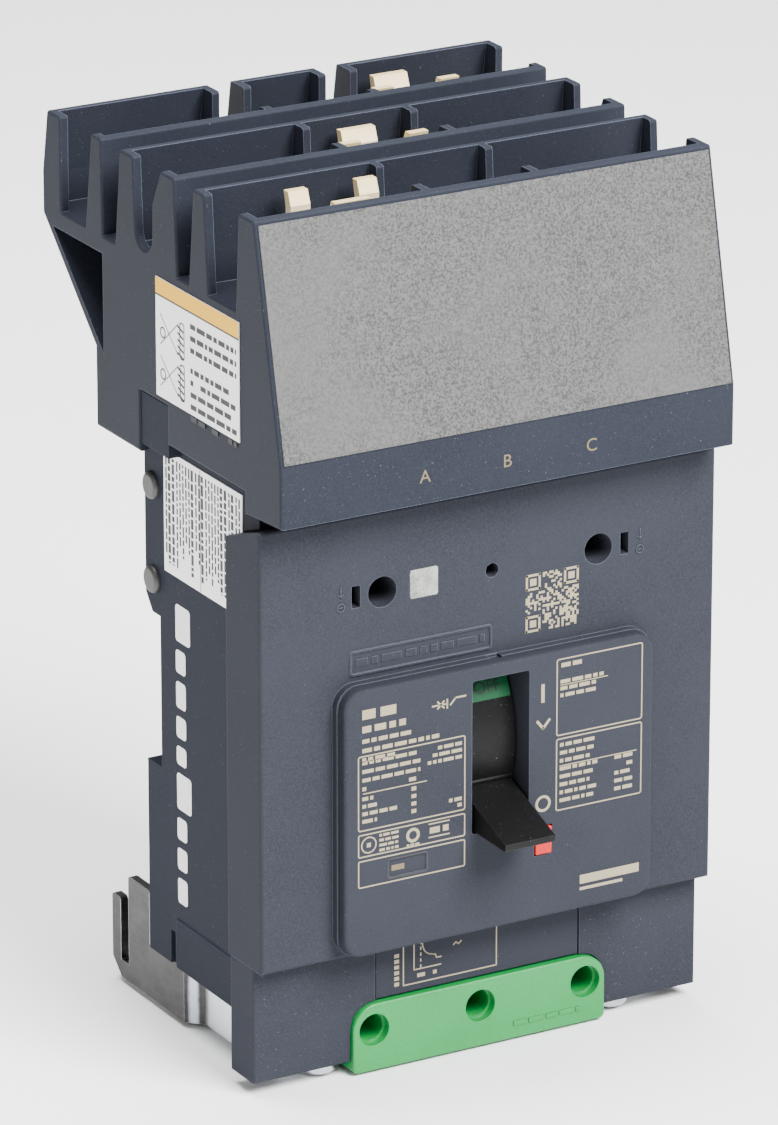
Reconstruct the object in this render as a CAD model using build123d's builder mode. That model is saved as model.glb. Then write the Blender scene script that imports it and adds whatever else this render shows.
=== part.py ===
"""Three-pole molded case breaker of the plug-on kind, made as an assembly of separate pieces.

Millimetres. +X is right seen from the front, +Y runs back and +Z runs up towards the line end.
The origin lies in the middle of the rear mounting face. Every piece is drawn in the bench frame:
x from the middle, depth behind the cover's face, and height above the foot of the front frame.
"""
from build123d import *
from math import cos, radians, sin
import os

os.makedirs("parts", exist_ok=True)

# ---------------------------------------------------------------- driving dimensions
POLE_PITCH = 27.0
POLES = {"a": -POLE_PITCH, "b": 0.0, "c": POLE_PITCH}
CASE_DEPTH = 60.0          # cover's face to rear mounting face
MOUNT_HEIGHT = 64.0        # origin's height above the foot

CASE_HALF = 52.6           # side walls
CORE_HALF = 40.5           # block that holds the three poles
CASE_FRONT = 15.0
CASE_BOTTOM = 11.4         # underside of the side wings
CASE_TOP = 136.0
CHAMBER_HALF = 11.75
WALL = 2.4

COVER_HALF = 57.0
COVER_BOTTOM, COVER_TOP = 27.5, 129.5
COVER_TOP_SLOPE = 5.3 / 15.0
COVER_WALL = 3.0

NOSE_HALF = 38.9
NOSE_BOTTOM, NOSE_TOP = 28.9, 90.9
NOSE_FRONT = -4.6
PLINTH_FRONT = -2.0
WINDOW_HALF = 7.2
WINDOW_BOTTOM, WINDOW_TOP = 52.2, 87.8
SHROUD_WALL = 1.2
SHROUD_REAR = 16.0         # how far back the window's side walls reach

PIVOT = (28.0, 70.0)       # depth and height of the handle's axis
PIN_RADIUS = 2.0
BARREL_RADIUS = 27.6
OFF_ANGLE = 19.5           # lever below the horizontal, in degrees
SHAFT = (43.0, 74.0)       # contact shaft
SHAFT_RADIUS = 5.0
TRIP_AXIS = (36.0, 60.0)
TRIP_RADIUS = 2.4
RUNNING = 0.05             # radial clearance of a turning fit

BUTTON_X, BUTTON_Z = 10.9, 47.3

FRAME_HALF = 56.5
FRAME_FRONT = 4.84
PLATE_HALF = 32.2
PLATE_BOTTOM, PLATE_TOP = -2.7, 13.2
PLATE_DEPTH = 8.7
ACCESS_HEIGHT = 7.1        # centre line of the terminal screws
ACCESS_RADIUS = 3.2
WIRE_RADIUS = 5.5
WIRE_DEPTH = 34.0
LUG_SCREW_RADIUS = 3.5

HOUSING_HALF = 56.3
HOUSING_FRONT = -8.3
HOUSING_BOTTOM = 132.3
BAND_TOP = 146.0           # where the front starts to slope back
FIN_TOP = 197.5
SLOT_FLOOR = 175.7
SLOPE_TOP_DEPTH = 2.9
REAR_WALL = 75.3
FIN_WALL = 2.0
RIB_HALF = 0.9
BUS_THICKNESS = 6.35

BRACKET_SHEET = 2.0
CHEEK_X = 51.5             # outer face of the bracket's rear cheek
STRIP_X = 47.8             # outer face of its front strip


# ---------------------------------------------------------------- drawing helpers
BENCH = Plane(origin=(0, -CASE_DEPTH, -MOUNT_HEIGHT))


def front_view(depth):
    """Sketch plane with x to the right and height up; extruding runs forwards."""
    return Plane(origin=(0, depth - CASE_DEPTH, -MOUNT_HEIGHT), x_dir=(1, 0, 0), z_dir=(0, -1, 0))


def side_view(x):
    """Sketch plane with depth to the right and height up; extruding runs towards +X."""
    return Plane(origin=(x, -CASE_DEPTH, -MOUNT_HEIGHT), x_dir=(0, 1, 0), z_dir=(1, 0, 0))


def plan_view(height):
    """Sketch plane with x to the right and depth up; extruding runs up."""
    return Plane(origin=(0, -CASE_DEPTH, height - MOUNT_HEIGHT), x_dir=(1, 0, 0), z_dir=(0, 0, 1))


def block(x, y, z, mode=Mode.ADD):
    """Box between two sides, two depths and two heights."""
    with Locations(((x[0] + x[1]) / 2, (y[0] + y[1]) / 2, (z[0] + z[1]) / 2)):
        Box(x[1] - x[0], y[1] - y[0], z[1] - z[0], mode=mode)


def profile(points, x, mode=Mode.ADD):
    """Side outline of (depth, height) points, extruded from x[0] to x[1]."""
    with BuildSketch(side_view(x[0])) as outline:
        with BuildLine():
            Polyline(*points, close=True)
        make_face()
    extrude(outline.sketch, amount=x[1] - x[0], mode=mode)


def panel(x, z, y, radius, mode=Mode.ADD):
    """Rounded rectangle seen from the front, from depth y[0] back to y[1]."""
    with BuildSketch(front_view(y[1])) as outline:
        with Locations(((x[0] + x[1]) / 2, (z[0] + z[1]) / 2)):
            RectangleRounded(x[1] - x[0], z[1] - z[0], radius)
    extrude(outline.sketch, amount=y[1] - y[0], mode=mode)


def bar_back(x, z, radius, y, mode=Mode.ADD):
    """Round bar or hole that runs from depth y[0] back to y[1]."""
    with BuildSketch(front_view(y[1])) as circle:
        with Locations((x, z)):
            Circle(radius)
    extrude(circle.sketch, amount=y[1] - y[0], mode=mode)


def bar_across(y, z, radius, x, mode=Mode.ADD):
    """Round bar or hole that runs from x[0] to x[1]."""
    with BuildSketch(side_view(x[0])) as circle:
        with Locations((y, z)):
            Circle(radius)
    extrude(circle.sketch, amount=x[1] - x[0], mode=mode)


def bar_up(x, y, radius, z, mode=Mode.ADD):
    """Round bar or hole that runs from height z[0] up to z[1]."""
    with BuildSketch(plan_view(z[0])) as circle:
        with Locations((x, y)):
            Circle(radius)
    extrude(circle.sketch, amount=z[1] - z[0], mode=mode)


def strip(points, bend, thickness, x, mode=Mode.ADD):
    """Bent strip whose middle line follows (depth, height) points, from x[0] to x[1]."""
    with BuildSketch(side_view(x[0])) as outline:
        with BuildLine():
            FilletPolyline(*points, radius=bend)
        trace(line_width=thickness)
    extrude(outline.sketch, amount=x[1] - x[0], mode=mode)


def turned(point, centre, angle):
    """(depth, height) point turned about a centre; a positive angle lifts what lies in front."""
    y, z = point[0] - centre[0], point[1] - centre[1]
    c, s = cos(radians(angle)), sin(radians(angle))
    return centre[0] + y * c + z * s, centre[1] - y * s + z * c


def save(piece, name):
    """Label a finished piece and write it."""
    piece.part.label = name
    export_step(piece.part, f"parts/{name}.step")


# ---------------------------------------------------------------- moulded case
SHELF = (19.0, 22.0)       # floor between lug compartments and chambers
CHAMBER_TOP = 127.0
FLANGE_STEP = 53.4         # rear face of the side wings between the flanges
REAR_FLANGE_TOP = 130.7    # just under the bus jaw housing
LEDGE_PROUD = 0.3          # thicker foot of the side walls
LEDGE_TOP = 23.0
SIDE_NOTCH = (47.6, 50.0)
EAR = (42.5, 54.6)
RIVETS = [(56.4, 122.2), (56.4, 100.4)]
RIVET_RADIUS = 3.2
BOSSES = [(x, z) for x in (-13.5, 13.5) for z in (38.0, 86.0)]
LOAD_STRAP_DEPTH = (46.0, 48.0)
LINE_STRAP_DEPTH = (53.0, 55.0)

with BuildPart(BENCH) as rear_case:
    wing_outline = [
        (CASE_FRONT, CASE_BOTTOM),
        (CASE_FRONT, COVER_TOP - 15 * COVER_TOP_SLOPE + 0.3),
        (7.9, COVER_TOP - 7.9 * COVER_TOP_SLOPE + 0.3),
        (7.9, CASE_TOP),
        (EAR[1], CASE_TOP),
        (EAR[1], REAR_FLANGE_TOP),
        (CASE_DEPTH, REAR_FLANGE_TOP),
        (CASE_DEPTH, 96.5),
        (57.0, 92.6),
        (FLANGE_STEP, 92.6),
        (FLANGE_STEP, 57.0),
        (CASE_DEPTH, 57.0),
        (CASE_DEPTH, CASE_BOTTOM),
    ]
    profile(wing_outline, (-CASE_HALF, CASE_HALF))
    block((-CORE_HALF, CORE_HALF), (CASE_FRONT, CASE_DEPTH), (0, CHAMBER_TOP + 1))
    for side in (-1, 1):
        low, high = sorted((side * CASE_HALF, side * (CASE_HALF + LEDGE_PROUD)))
        block((low, high), (CASE_FRONT + 3, SIDE_NOTCH[0] - 0.6), (CASE_BOTTOM, LEDGE_TOP))
        low, high = sorted((side * 49, side * 55.9))
        profile([(EAR[0], 133), (EAR[0], 145), (EAR[1], 145), (EAR[1], 133)], (low, high))
        # hollow of the wing, and the notch in its side
        low, high = sorted((side * (CORE_HALF + 2), side * (CASE_HALF - 2.2)))
        block((low, high), (CASE_FRONT - 1, 51), (CASE_BOTTOM + 2.4, 121), mode=Mode.SUBTRACT)
        low, high = sorted((side * (CASE_HALF - 1.2), side * (CASE_HALF + 1)))
        block((low, high), SIDE_NOTCH, (CASE_BOTTOM - 1, 19.5), mode=Mode.SUBTRACT)
        low, high = sorted((side * (CASE_HALF - 6), side * (CASE_HALF + 1)))
        for depth, height in RIVETS:
            bar_across(depth, height, 1.5, (low, high), mode=Mode.SUBTRACT)
    # tray under the bus jaw housing
    block((-50, 50), (10, 48), (129.5, CASE_TOP + 1), mode=Mode.SUBTRACT)
    for x in POLES.values():
        block((x - CHAMBER_HALF, x + CHAMBER_HALF), (CASE_FRONT - 1, 57), (SHELF[1], CHAMBER_TOP),
              mode=Mode.SUBTRACT)
        block((x - 10.5, x + 10.5), (CASE_FRONT - 1, 50), (-1, SHELF[0]), mode=Mode.SUBTRACT)
        block((x - 6, x + 6), (LOAD_STRAP_DEPTH[0] - 0.2, LOAD_STRAP_DEPTH[1] + 0.2),
              (SHELF[0] - 1, SHELF[1] + 1), mode=Mode.SUBTRACT)
        block((x - 7, x + 7), (LINE_STRAP_DEPTH[0] - 0.5, LINE_STRAP_DEPTH[1] + 0.5),
              (CHAMBER_TOP - 1, CASE_TOP + 1), mode=Mode.SUBTRACT)
    # bearings of the contact shaft and the trip bar, open to the front
    for (depth, height), radius in ((SHAFT, SHAFT_RADIUS), (TRIP_AXIS, TRIP_RADIUS)):
        hole = radius + RUNNING
        bar_across(depth, height, hole, (-38.75, 38.75), mode=Mode.SUBTRACT)
        block((-38.75, 38.75), (CASE_FRONT - 1, depth), (height - hole, height + hole), mode=Mode.SUBTRACT)
    for x, z in BOSSES:
        bar_back(x, z, 2.4, (CASE_FRONT, 34))
        bar_back(x, z, 1.3, (CASE_FRONT - 1, 30), mode=Mode.SUBTRACT)
save(rear_case, "rear_case")

# ---------------------------------------------------------------- front cover and nose
WELLS = [(-27.0, 110.7, 3.5), (27.1, 110.8, 3.5), (0.3, 110.7, 1.6)]
SLOTS = [(-33.5, 110.7), (33.8, 110.9)]
LENS = ((-20.3, -13.2), (107.7, 114.4))

with BuildPart(BENCH) as front_cover:
    cover_rear_top = COVER_TOP - CASE_FRONT * COVER_TOP_SLOPE
    profile([(0, COVER_BOTTOM), (0, COVER_TOP), (CASE_FRONT, cover_rear_top), (CASE_FRONT, COVER_BOTTOM)],
            (-COVER_HALF, COVER_HALF))
    outer_edges = front_cover.edges().filter_by(GeomType.LINE).group_by(Axis.Y)[0]
    fillet(outer_edges, 0.8)
    panel((-NOSE_HALF - 0.5, NOSE_HALF + 0.5), (NOSE_BOTTOM - 0.5, NOSE_TOP + 0.5), (PLINTH_FRONT, 1), 5.0)
    # inside, with a rim that meets the front of the case
    profile([(COVER_WALL, COVER_BOTTOM + WALL), (COVER_WALL, COVER_TOP - 1.1 - WALL),
             (CASE_FRONT + 1, cover_rear_top - WALL - 0.4), (CASE_FRONT + 1, COVER_BOTTOM + WALL)],
            (1 - CASE_HALF, CASE_HALF - 1), mode=Mode.SUBTRACT)
    for side in (-1, 1):
        low, high = sorted((side * (CASE_HALF - 1), side * (COVER_HALF - WALL)))
        block((low, high), (COVER_WALL, 12), (COVER_BOTTOM + WALL, COVER_TOP - 8), mode=Mode.SUBTRACT)
    # opening for the handle and the button, under the escutcheon
    panel((-9.4, 14.2), (41.5, 90.5), (PLINTH_FRONT - 1, COVER_WALL + 1), 1.0, mode=Mode.SUBTRACT)
    for x, z in BOSSES:
        bar_back(x, z, 2.6, (PLINTH_FRONT + 0.001, CASE_FRONT))
        bar_back(x, z, 1.6, (PLINTH_FRONT - 1, CASE_FRONT + 1), mode=Mode.SUBTRACT)
        bar_back(x, z, 3.0, (PLINTH_FRONT - 1, 1.2), mode=Mode.SUBTRACT)
    for x, z, radius in WELLS:
        bar_back(x, z, radius + 1.3, (COVER_WALL - 0.5, 12))
        bar_back(x, z, radius, (-1, 10.5), mode=Mode.SUBTRACT)
    for x, z in SLOTS:
        panel((x - 1.05, x + 1.05), (z - 2.5, z + 2.5), (-1, COVER_WALL + 1), 0.3, mode=Mode.SUBTRACT)
    panel(LENS[0], LENS[1], (-1, COVER_WALL + 1), 0.5, mode=Mode.SUBTRACT)
    # pull notch over the nose
    block((-1.4, 1.6), (PLINTH_FRONT - 1, -0.2), (NOSE_TOP - 0.2, NOSE_TOP + 1), mode=Mode.SUBTRACT)
    # raised outline of the name field
    panel((-35.2, 0.2), (92.7, 98.4), (-0.35, 0.5), 0.8)
    panel((-34.7, -0.3), (93.2, 97.9), (-1, 0), 0.5, mode=Mode.SUBTRACT)
save(front_cover, "front_cover")

with BuildPart(BENCH) as escutcheon:
    panel((-NOSE_HALF, NOSE_HALF), (NOSE_BOTTOM, NOSE_TOP), (NOSE_FRONT, PLINTH_FRONT - 0.25), 4.5)
    fillet(escutcheon.faces().sort_by(Axis.Y)[0].edges(), 0.9)
    panel((0.5 - NOSE_HALF, NOSE_HALF - 0.5), (NOSE_BOTTOM + 0.5, NOSE_TOP - 0.5),
          (PLINTH_FRONT - 0.25, PLINTH_FRONT), 4.0)
    panel((-WINDOW_HALF, WINDOW_HALF), (WINDOW_BOTTOM, WINDOW_TOP), (NOSE_FRONT - 1, PLINTH_FRONT + 1), 0.6,
          mode=Mode.SUBTRACT)
    panel((BUTTON_X - 2.3, BUTTON_X + 2.3), (BUTTON_Z - 3.5, BUTTON_Z + 3.5),
          (NOSE_FRONT - 1, PLINTH_FRONT + 1), 0.4, mode=Mode.SUBTRACT)
    panel((-28.0, -18.6), (46.3, 50.4), (NOSE_FRONT - 1, NOSE_FRONT + 0.3), 0.5, mode=Mode.SUBTRACT)
    # side walls that shut the window off beside the barrel
    for side in (-1, 1):
        shroud_x = sorted((side * WINDOW_HALF, side * (WINDOW_HALF + SHROUD_WALL)))
        block(shroud_x, (PLINTH_FRONT - 0.5, SHROUD_REAR), (WINDOW_BOTTOM + 2, WINDOW_TOP + SHROUD_WALL))
    block((-WINDOW_HALF, WINDOW_HALF), (PLINTH_FRONT - 0.5, 1.0), (WINDOW_TOP, WINDOW_TOP + SHROUD_WALL))
save(escutcheon, "escutcheon")

with BuildPart(BENCH) as indicator_window:
    panel((LENS[0][0] + 0.1, LENS[0][1] - 0.1), (LENS[1][0] + 0.1, LENS[1][1] - 0.1), (-0.15, 2.0), 0.5)
    panel((LENS[0][0] - 0.8, LENS[0][1] + 0.8), (LENS[1][0] - 0.8, LENS[1][1] + 0.8),
          (COVER_WALL, COVER_WALL + 1.2), 0.5)
    panel((LENS[0][0] + 0.1, LENS[0][1] - 0.1), (LENS[1][0] + 0.1, LENS[1][1] - 0.1), (2.0, COVER_WALL), 0.5)
save(indicator_window, "indicator_window")

with BuildPart(BENCH) as cover_screws:
    for x, z in BOSSES:
        bar_back(x, z, 2.7, (-0.8, 1.2))
        bar_back(x, z, 1.3, (1.2, 28))
        block((x - 1.8, x + 1.8), (-1, 0), (z - 0.3, z + 0.3), mode=Mode.SUBTRACT)
save(cover_screws, "cover_screws")

# ---------------------------------------------------------------- load end: frame, cover, plate
CENTRE_HALF = 26.0
FRAME_POCKET_FRONT = 7.3   # pocket in the underside for the bracket's flange

with BuildPart(BENCH) as lower_front_frame:
    block((-FRAME_HALF, FRAME_HALF), (FRAME_FRONT, CASE_FRONT), (0, 27.2))
    fillet(lower_front_frame.edges().group_by(Axis.Y)[0], 0.5)
    block((0.1 - CENTRE_HALF - 0.2, CENTRE_HALF + 0.1), (FRAME_FRONT - 1, 12.5), (PLATE_TOP, 28),
          mode=Mode.SUBTRACT)
    panel((-PLATE_HALF - 0.2, PLATE_HALF + 0.2), (-12, PLATE_TOP + 0.2), (FRAME_FRONT - 1, 12.5), 6.0,
          mode=Mode.SUBTRACT)
    for side in (-1, 1):
        low, high = sorted((side * 44, side * (FRAME_HALF - WALL)))
        block((low, high), (FRAME_FRONT + WALL, CASE_FRONT + 1), (WALL, 27.2 - WALL), mode=Mode.SUBTRACT)
        bar_up(side * 37.5, 10.5, 1.5, (-1, 9), mode=Mode.SUBTRACT)
        block(sorted((side * 33.2, side * (STRIP_X + 0.2))), (FRAME_POCKET_FRONT, CASE_FRONT + 1), (-1, 2.4),
              mode=Mode.SUBTRACT)
    for x in POLES.values():
        bar_back(x, ACCESS_HEIGHT, 4.5, (12, CASE_FRONT + 1), mode=Mode.SUBTRACT)
save(lower_front_frame, "lower_front_frame")

with BuildPart(BENCH) as trip_unit_cover:
    block((-CENTRE_HALF + 0.15, CENTRE_HALF - 0.15), (FRAME_FRONT + 0.1, 12.5), (PLATE_TOP + 0.4, 27.2))
    fillet(trip_unit_cover.edges().group_by(Axis.Y)[0], 0.3)
    block((-CENTRE_HALF + 2.5, CENTRE_HALF - 2.5), (7.2, 13), (PLATE_TOP + 2.4, 25), mode=Mode.SUBTRACT)
save(trip_unit_cover, "trip_unit_cover")

with BuildPart(BENCH) as terminal_plate:
    with BuildSketch(front_view(12.3)) as plate_outline:
        with Locations((0, (PLATE_BOTTOM + PLATE_TOP) / 2)):
            Rectangle(2 * PLATE_HALF, PLATE_TOP - PLATE_BOTTOM)
        fillet(plate_outline.vertices().group_by(Axis.Y)[-1], 6.0)
        fillet(plate_outline.vertices().group_by(Axis.Y)[0], 1.2)
    extrude(amount=PLATE_DEPTH)
    fillet(terminal_plate.faces().sort_by(Axis.Y)[0].edges(), 0.5)
    # the part below the frame's foot is only a lip
    block((-PLATE_HALF - 1, PLATE_HALF + 1), (10.4, 13), (PLATE_BOTTOM - 1, 0.1), mode=Mode.SUBTRACT)
    for x in POLES.values():
        bar_back(x, ACCESS_HEIGHT, 3.75, (3, 5.6), mode=Mode.SUBTRACT)
        bar_back(x, ACCESS_HEIGHT, ACCESS_RADIUS, (3, 13), mode=Mode.SUBTRACT)
save(terminal_plate, "terminal_plate")

# ---------------------------------------------------------------- bus jaw housing
# fin faces as (depth at the fin's top, depth at the slot's floor)
G1 = ((9.75, 11.2), (24.6, 23.0))
G2 = ((29.7, 32.0), (38.1, 37.1))
G4 = ((63.0, 65.6), (71.6, 71.3))
G5 = ((76.3, 79.4), (90.8, 90.9))
ABOVE = FIN_TOP + 1
BAYS = [(-HOUSING_HALF + 2, -13.5 - RIB_HALF), (-13.5 + RIB_HALF, 13.5 - RIB_HALF),
        (13.5 + RIB_HALF, HOUSING_HALF - 2)]
REAR_BAYS = [(-HOUSING_HALF + 2, -18.4), (-8.6, 8.6), (18.4, HOUSING_HALF - 2)]
slope = (SLOPE_TOP_DEPTH - HOUSING_FRONT) / (FIN_TOP - BAND_TOP)


def at_top(pair):
    """Carry a drafted face on to just above the fins: (depth, height) there."""
    return (pair[0] + (pair[0] - pair[1]) / (FIN_TOP - SLOT_FLOOR), ABOVE)


def sloped_front(height):
    """Depth of the sloped front face at a height."""
    return HOUSING_FRONT + (height - BAND_TOP) * slope


with BuildPart(BENCH) as line_housing:
    with BuildSketch(side_view(-HOUSING_HALF)) as housing_outline:
        with BuildLine():
            Polyline((HOUSING_FRONT, HOUSING_BOTTOM), (HOUSING_FRONT, BAND_TOP), (SLOPE_TOP_DEPTH, FIN_TOP),
                     (97.1, FIN_TOP), (99.6, 183.2), (99.6, 173.5), (REAR_WALL, 149.4), (REAR_WALL, 131.0),
                     (EAR[1] + 0.3, 131.0), (EAR[1] + 0.3, 145.2), (EAR[0] - 0.3, 145.2),
                     (EAR[0] - 0.3, CASE_TOP + 0.3), (7.6, CASE_TOP + 0.3), (7.6, 131.2), close=True)
        make_face()
        # slots between the fins, as they show at the ends
        for front, back in (G1, G2, G4, G5):
            with BuildLine():
                Polyline((front[1], SLOT_FLOOR), at_top(front), at_top(back), (back[1], SLOT_FLOOR),
                         close=True)
            make_face(mode=Mode.SUBTRACT)
        with BuildLine():
            Polyline((48.5, 181.45), (48.4, 189.0), (44.3, FIN_TOP), (44.0, ABOVE), (56.9, ABOVE),
                     (56.8, FIN_TOP), (56.0, 181.45), close=True)
        make_face(mode=Mode.SUBTRACT)
        with Locations((52.25, 181.45)):
            Circle(3.75, mode=Mode.SUBTRACT)
        tops = housing_outline.vertices().filter_by(lambda v: v.Y > FIN_TOP - 0.01)
        fillet(tops, 0.7)
    extrude(amount=2 * HOUSING_HALF)
    end_edges = line_housing.faces().filter_by(Plane.YZ).edges()
    fillet(end_edges, 0.6)
    # pockets that leave thin fins between the end flanges and the ribs
    for bay in BAYS:
        profile([(sloped_front(SLOT_FLOOR) + FIN_WALL, SLOT_FLOOR), (SLOPE_TOP_DEPTH + FIN_WALL + 0.2, ABOVE),
                 at_top(G1[0]), (G1[0][1], SLOT_FLOOR)], bay, mode=Mode.SUBTRACT)
        profile([(G1[1][1] - 1, SLOT_FLOOR), (G1[1][0] - 1, ABOVE), (27.6, ABOVE), (29.8, SLOT_FLOOR)],
                bay, mode=Mode.SUBTRACT)
        profile([(39.3, SLOT_FLOOR), (40.2, ABOVE), (60.8, ABOVE), (63.4, SLOT_FLOOR)], bay,
                mode=Mode.SUBTRACT)
        profile([(73.5, SLOT_FLOOR), (73.7, ABOVE), (80, ABOVE), (80, SLOT_FLOOR)], bay, mode=Mode.SUBTRACT)
    for bay in REAR_BAYS:
        profile([(90, SLOT_FLOOR), (90, ABOVE), (94.9, ABOVE), (97.4, 183), (97.4, SLOT_FLOOR)], bay,
                mode=Mode.SUBTRACT)
    for side in (-1, 1):
        block(sorted((side * 10.4, side * 16.6)), (89, 101), (183, ABOVE), mode=Mode.SUBTRACT)
    # hollow below the slots
    roof = SLOT_FLOOR - 2.6
    profile([(HOUSING_FRONT + WALL, 125), (HOUSING_FRONT + WALL, BAND_TOP), (sloped_front(roof) + WALL, roof),
             (69, roof), (69, 125)], (-54, 54), mode=Mode.SUBTRACT)
    for x in (-13.5, 13.5):
        profile([(HOUSING_FRONT + 1, 138), (HOUSING_FRONT + 1, BAND_TOP), (sloped_front(roof) + 1, roof + 1),
                 (70, roof + 1), (70, 138)], (x - 1, x + 1))
    # the rear pole's pocket over the overhang, and the open pockets at its ends
    rear_pocket = [(68, 150.4), (68, roof), (96.0, roof), (73.2, 150.4)]
    profile(rear_pocket, (POLES["c"] - 11.6, POLES["c"] + 11.6), mode=Mode.SUBTRACT)
    for side in (-1, 1):
        profile([(71.5, 148.6), (71.5, 171.6), (95.0, 171.6)], sorted((side * 47, side * 60)),
                mode=Mode.SUBTRACT)
    # throats for the jaws
    for x, (front, back) in zip(POLES.values(), ((9.6, 25.0), (44.0, 60.0), (77.6, 93.0))):
        block((x - 11.2, x + 11.2), (front, back), (roof - 1, SLOT_FLOOR + 1), mode=Mode.SUBTRACT)
save(line_housing, "line_housing")

FILM_THICKNESS = 0.3
LABEL_THICKNESS = 0.2

with BuildPart(BENCH) as line_label:
    low, high = BAND_TOP + 0.6, FIN_TOP - 1
    profile([(sloped_front(low), low), (sloped_front(low) - FILM_THICKNESS, low),
             (sloped_front(high) - FILM_THICKNESS, high), (sloped_front(high), high)],
            (-HOUSING_HALF + 0.9, HOUSING_HALF - 0.9))
save(line_label, "line_label")

with BuildPart(BENCH) as side_label_upper:
    block((-HOUSING_HALF - LABEL_THICKNESS, -HOUSING_HALF), (9.4, 46.6), (146.7, 173.5))
save(side_label_upper, "side_label_upper")

with BuildPart(BENCH) as side_label_lower:
    block((-CASE_HALF - LABEL_THICKNESS, -CASE_HALF), (15.2, 50.8), (104.3, 132.5))
save(side_label_lower, "side_label_lower")

with BuildPart(BENCH) as case_rivets:
    for side in (-1, 1):
        for depth, height in RIVETS:
            bar_across(depth, height, RIVET_RADIUS, sorted((side * CASE_HALF, side * (CASE_HALF + 1.2))))
            bar_across(depth, height, 1.5, sorted((side * (CASE_HALF - 5), side * CASE_HALF)))
    crowns = case_rivets.edges().group_by(Axis.X)
    fillet(crowns[0] + crowns[-1], 1.0)
save(case_rivets, "case_rivets")

# ---------------------------------------------------------------- mounting bracket
BRACKET_FOOT = -2.0
BRACKET_TOP = CASE_BOTTOM - 0.3
CHEEK_FRONT = 46.3         # rear end of the jog
STRIP_REAR = 42.4          # front end of the jog
STRIP_FRONT = 15.2
HOOK_NOTCH = (72.4, 76.2)
HOOK_FRONT = CASE_DEPTH + 2.3
FLANGE = (0.0, BRACKET_SHEET)
FLANGE_INNER = 33.5
FRAME_SCREW = (37.5, 10.5)  # distance from the middle, and depth
SCREW_HEAD_RADIUS = 4.3
SCREW_SHANK = 1.5
SCREW_FOOT = -2.6
CROSS_HALF = (2.3, 0.4)     # half length and half width of the cross recess

with BuildPart(BENCH) as mounting_bracket:
    for side in (-1, 1):
        # rear cheek with a notch between its two prongs
        cheek = sorted((side * CHEEK_X, side * (CHEEK_X - BRACKET_SHEET)))
        with BuildSketch(side_view(cheek[0])) as cheek_outline:
            with BuildLine():
                Polyline((CHEEK_FRONT, BRACKET_FOOT), (76, BRACKET_FOOT), (80.2, 2.0), (80.2, 17.4),
                         (HOOK_NOTCH[1], 17.4), (HOOK_NOTCH[1], 2.3), (HOOK_NOTCH[0], 2.3),
                         (HOOK_NOTCH[0], 24.0), (HOOK_FRONT, 24.0), (HOOK_FRONT, BRACKET_TOP),
                         (CHEEK_FRONT, BRACKET_TOP), close=True)
            make_face()
            prong_tips = cheek_outline.vertices().filter_by(lambda v: v.Y > 17)
            fillet(prong_tips, 0.9)
        extrude(amount=BRACKET_SHEET)
        # jog and front strip
        strip_x = sorted((side * STRIP_X, side * (STRIP_X - BRACKET_SHEET)))
        with BuildSketch(plan_view(BRACKET_FOOT)) as jog:
            with BuildLine():
                Polyline((side * CHEEK_X, CHEEK_FRONT), (side * (CHEEK_X - BRACKET_SHEET), CHEEK_FRONT),
                         (side * (STRIP_X - BRACKET_SHEET), STRIP_REAR), (side * STRIP_X, STRIP_REAR),
                         close=True)
            make_face()
        extrude(jog.sketch, amount=BRACKET_TOP - BRACKET_FOOT)
        block(strip_x, (STRIP_FRONT, STRIP_REAR), (BRACKET_FOOT, BRACKET_TOP))
        # flange turned in under the frame, in a pocket of its own
        flange_x = sorted((side * FLANGE_INNER, side * STRIP_X))
        block(flange_x, (FRAME_POCKET_FRONT + 0.2, CASE_FRONT - 0.1), FLANGE)
        block(sorted((side * 43.0, side * STRIP_X)), (CASE_FRONT - 1, 20), FLANGE)
        bar_up(side * FRAME_SCREW[0], FRAME_SCREW[1], SCREW_SHANK + 0.4, (-3, 3), mode=Mode.SUBTRACT)
    # web under the case that joins both sides
    block((-CHEEK_X, CHEEK_X), (47, 58), (BRACKET_FOOT, 0))
save(mounting_bracket, "mounting_bracket")

with BuildPart(BENCH) as bracket_screws:
    for side in (-1, 1):
        bar_up(side * FRAME_SCREW[0], FRAME_SCREW[1], SCREW_HEAD_RADIUS, (SCREW_FOOT, FLANGE[0]))
    fillet(bracket_screws.edges().group_by(Axis.Z)[0], 1.5)
    for side in (-1, 1):
        x, y = side * FRAME_SCREW[0], FRAME_SCREW[1]
        bar_up(x, y, SCREW_SHANK, (FLANGE[0], 8))
        for along, across in (CROSS_HALF, CROSS_HALF[::-1]):
            block((x - along, x + along), (y - across, y + across), (SCREW_FOOT - 0.2, SCREW_FOOT + 1.2),
                  mode=Mode.SUBTRACT)
save(bracket_screws, "bracket_screws")

# ---------------------------------------------------------------- one pole's current path
JAW_BASE = (168.2, 171.0)
JAW_SHEET = 2.2
BUS_DEPTHS = {"a": 17.1, "b": 52.1, "c": 85.1}
BLADE_SIDE = {"a": -1, "b": 1, "c": 1}        # the wide blade lies in front of the bar, or behind it


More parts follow.
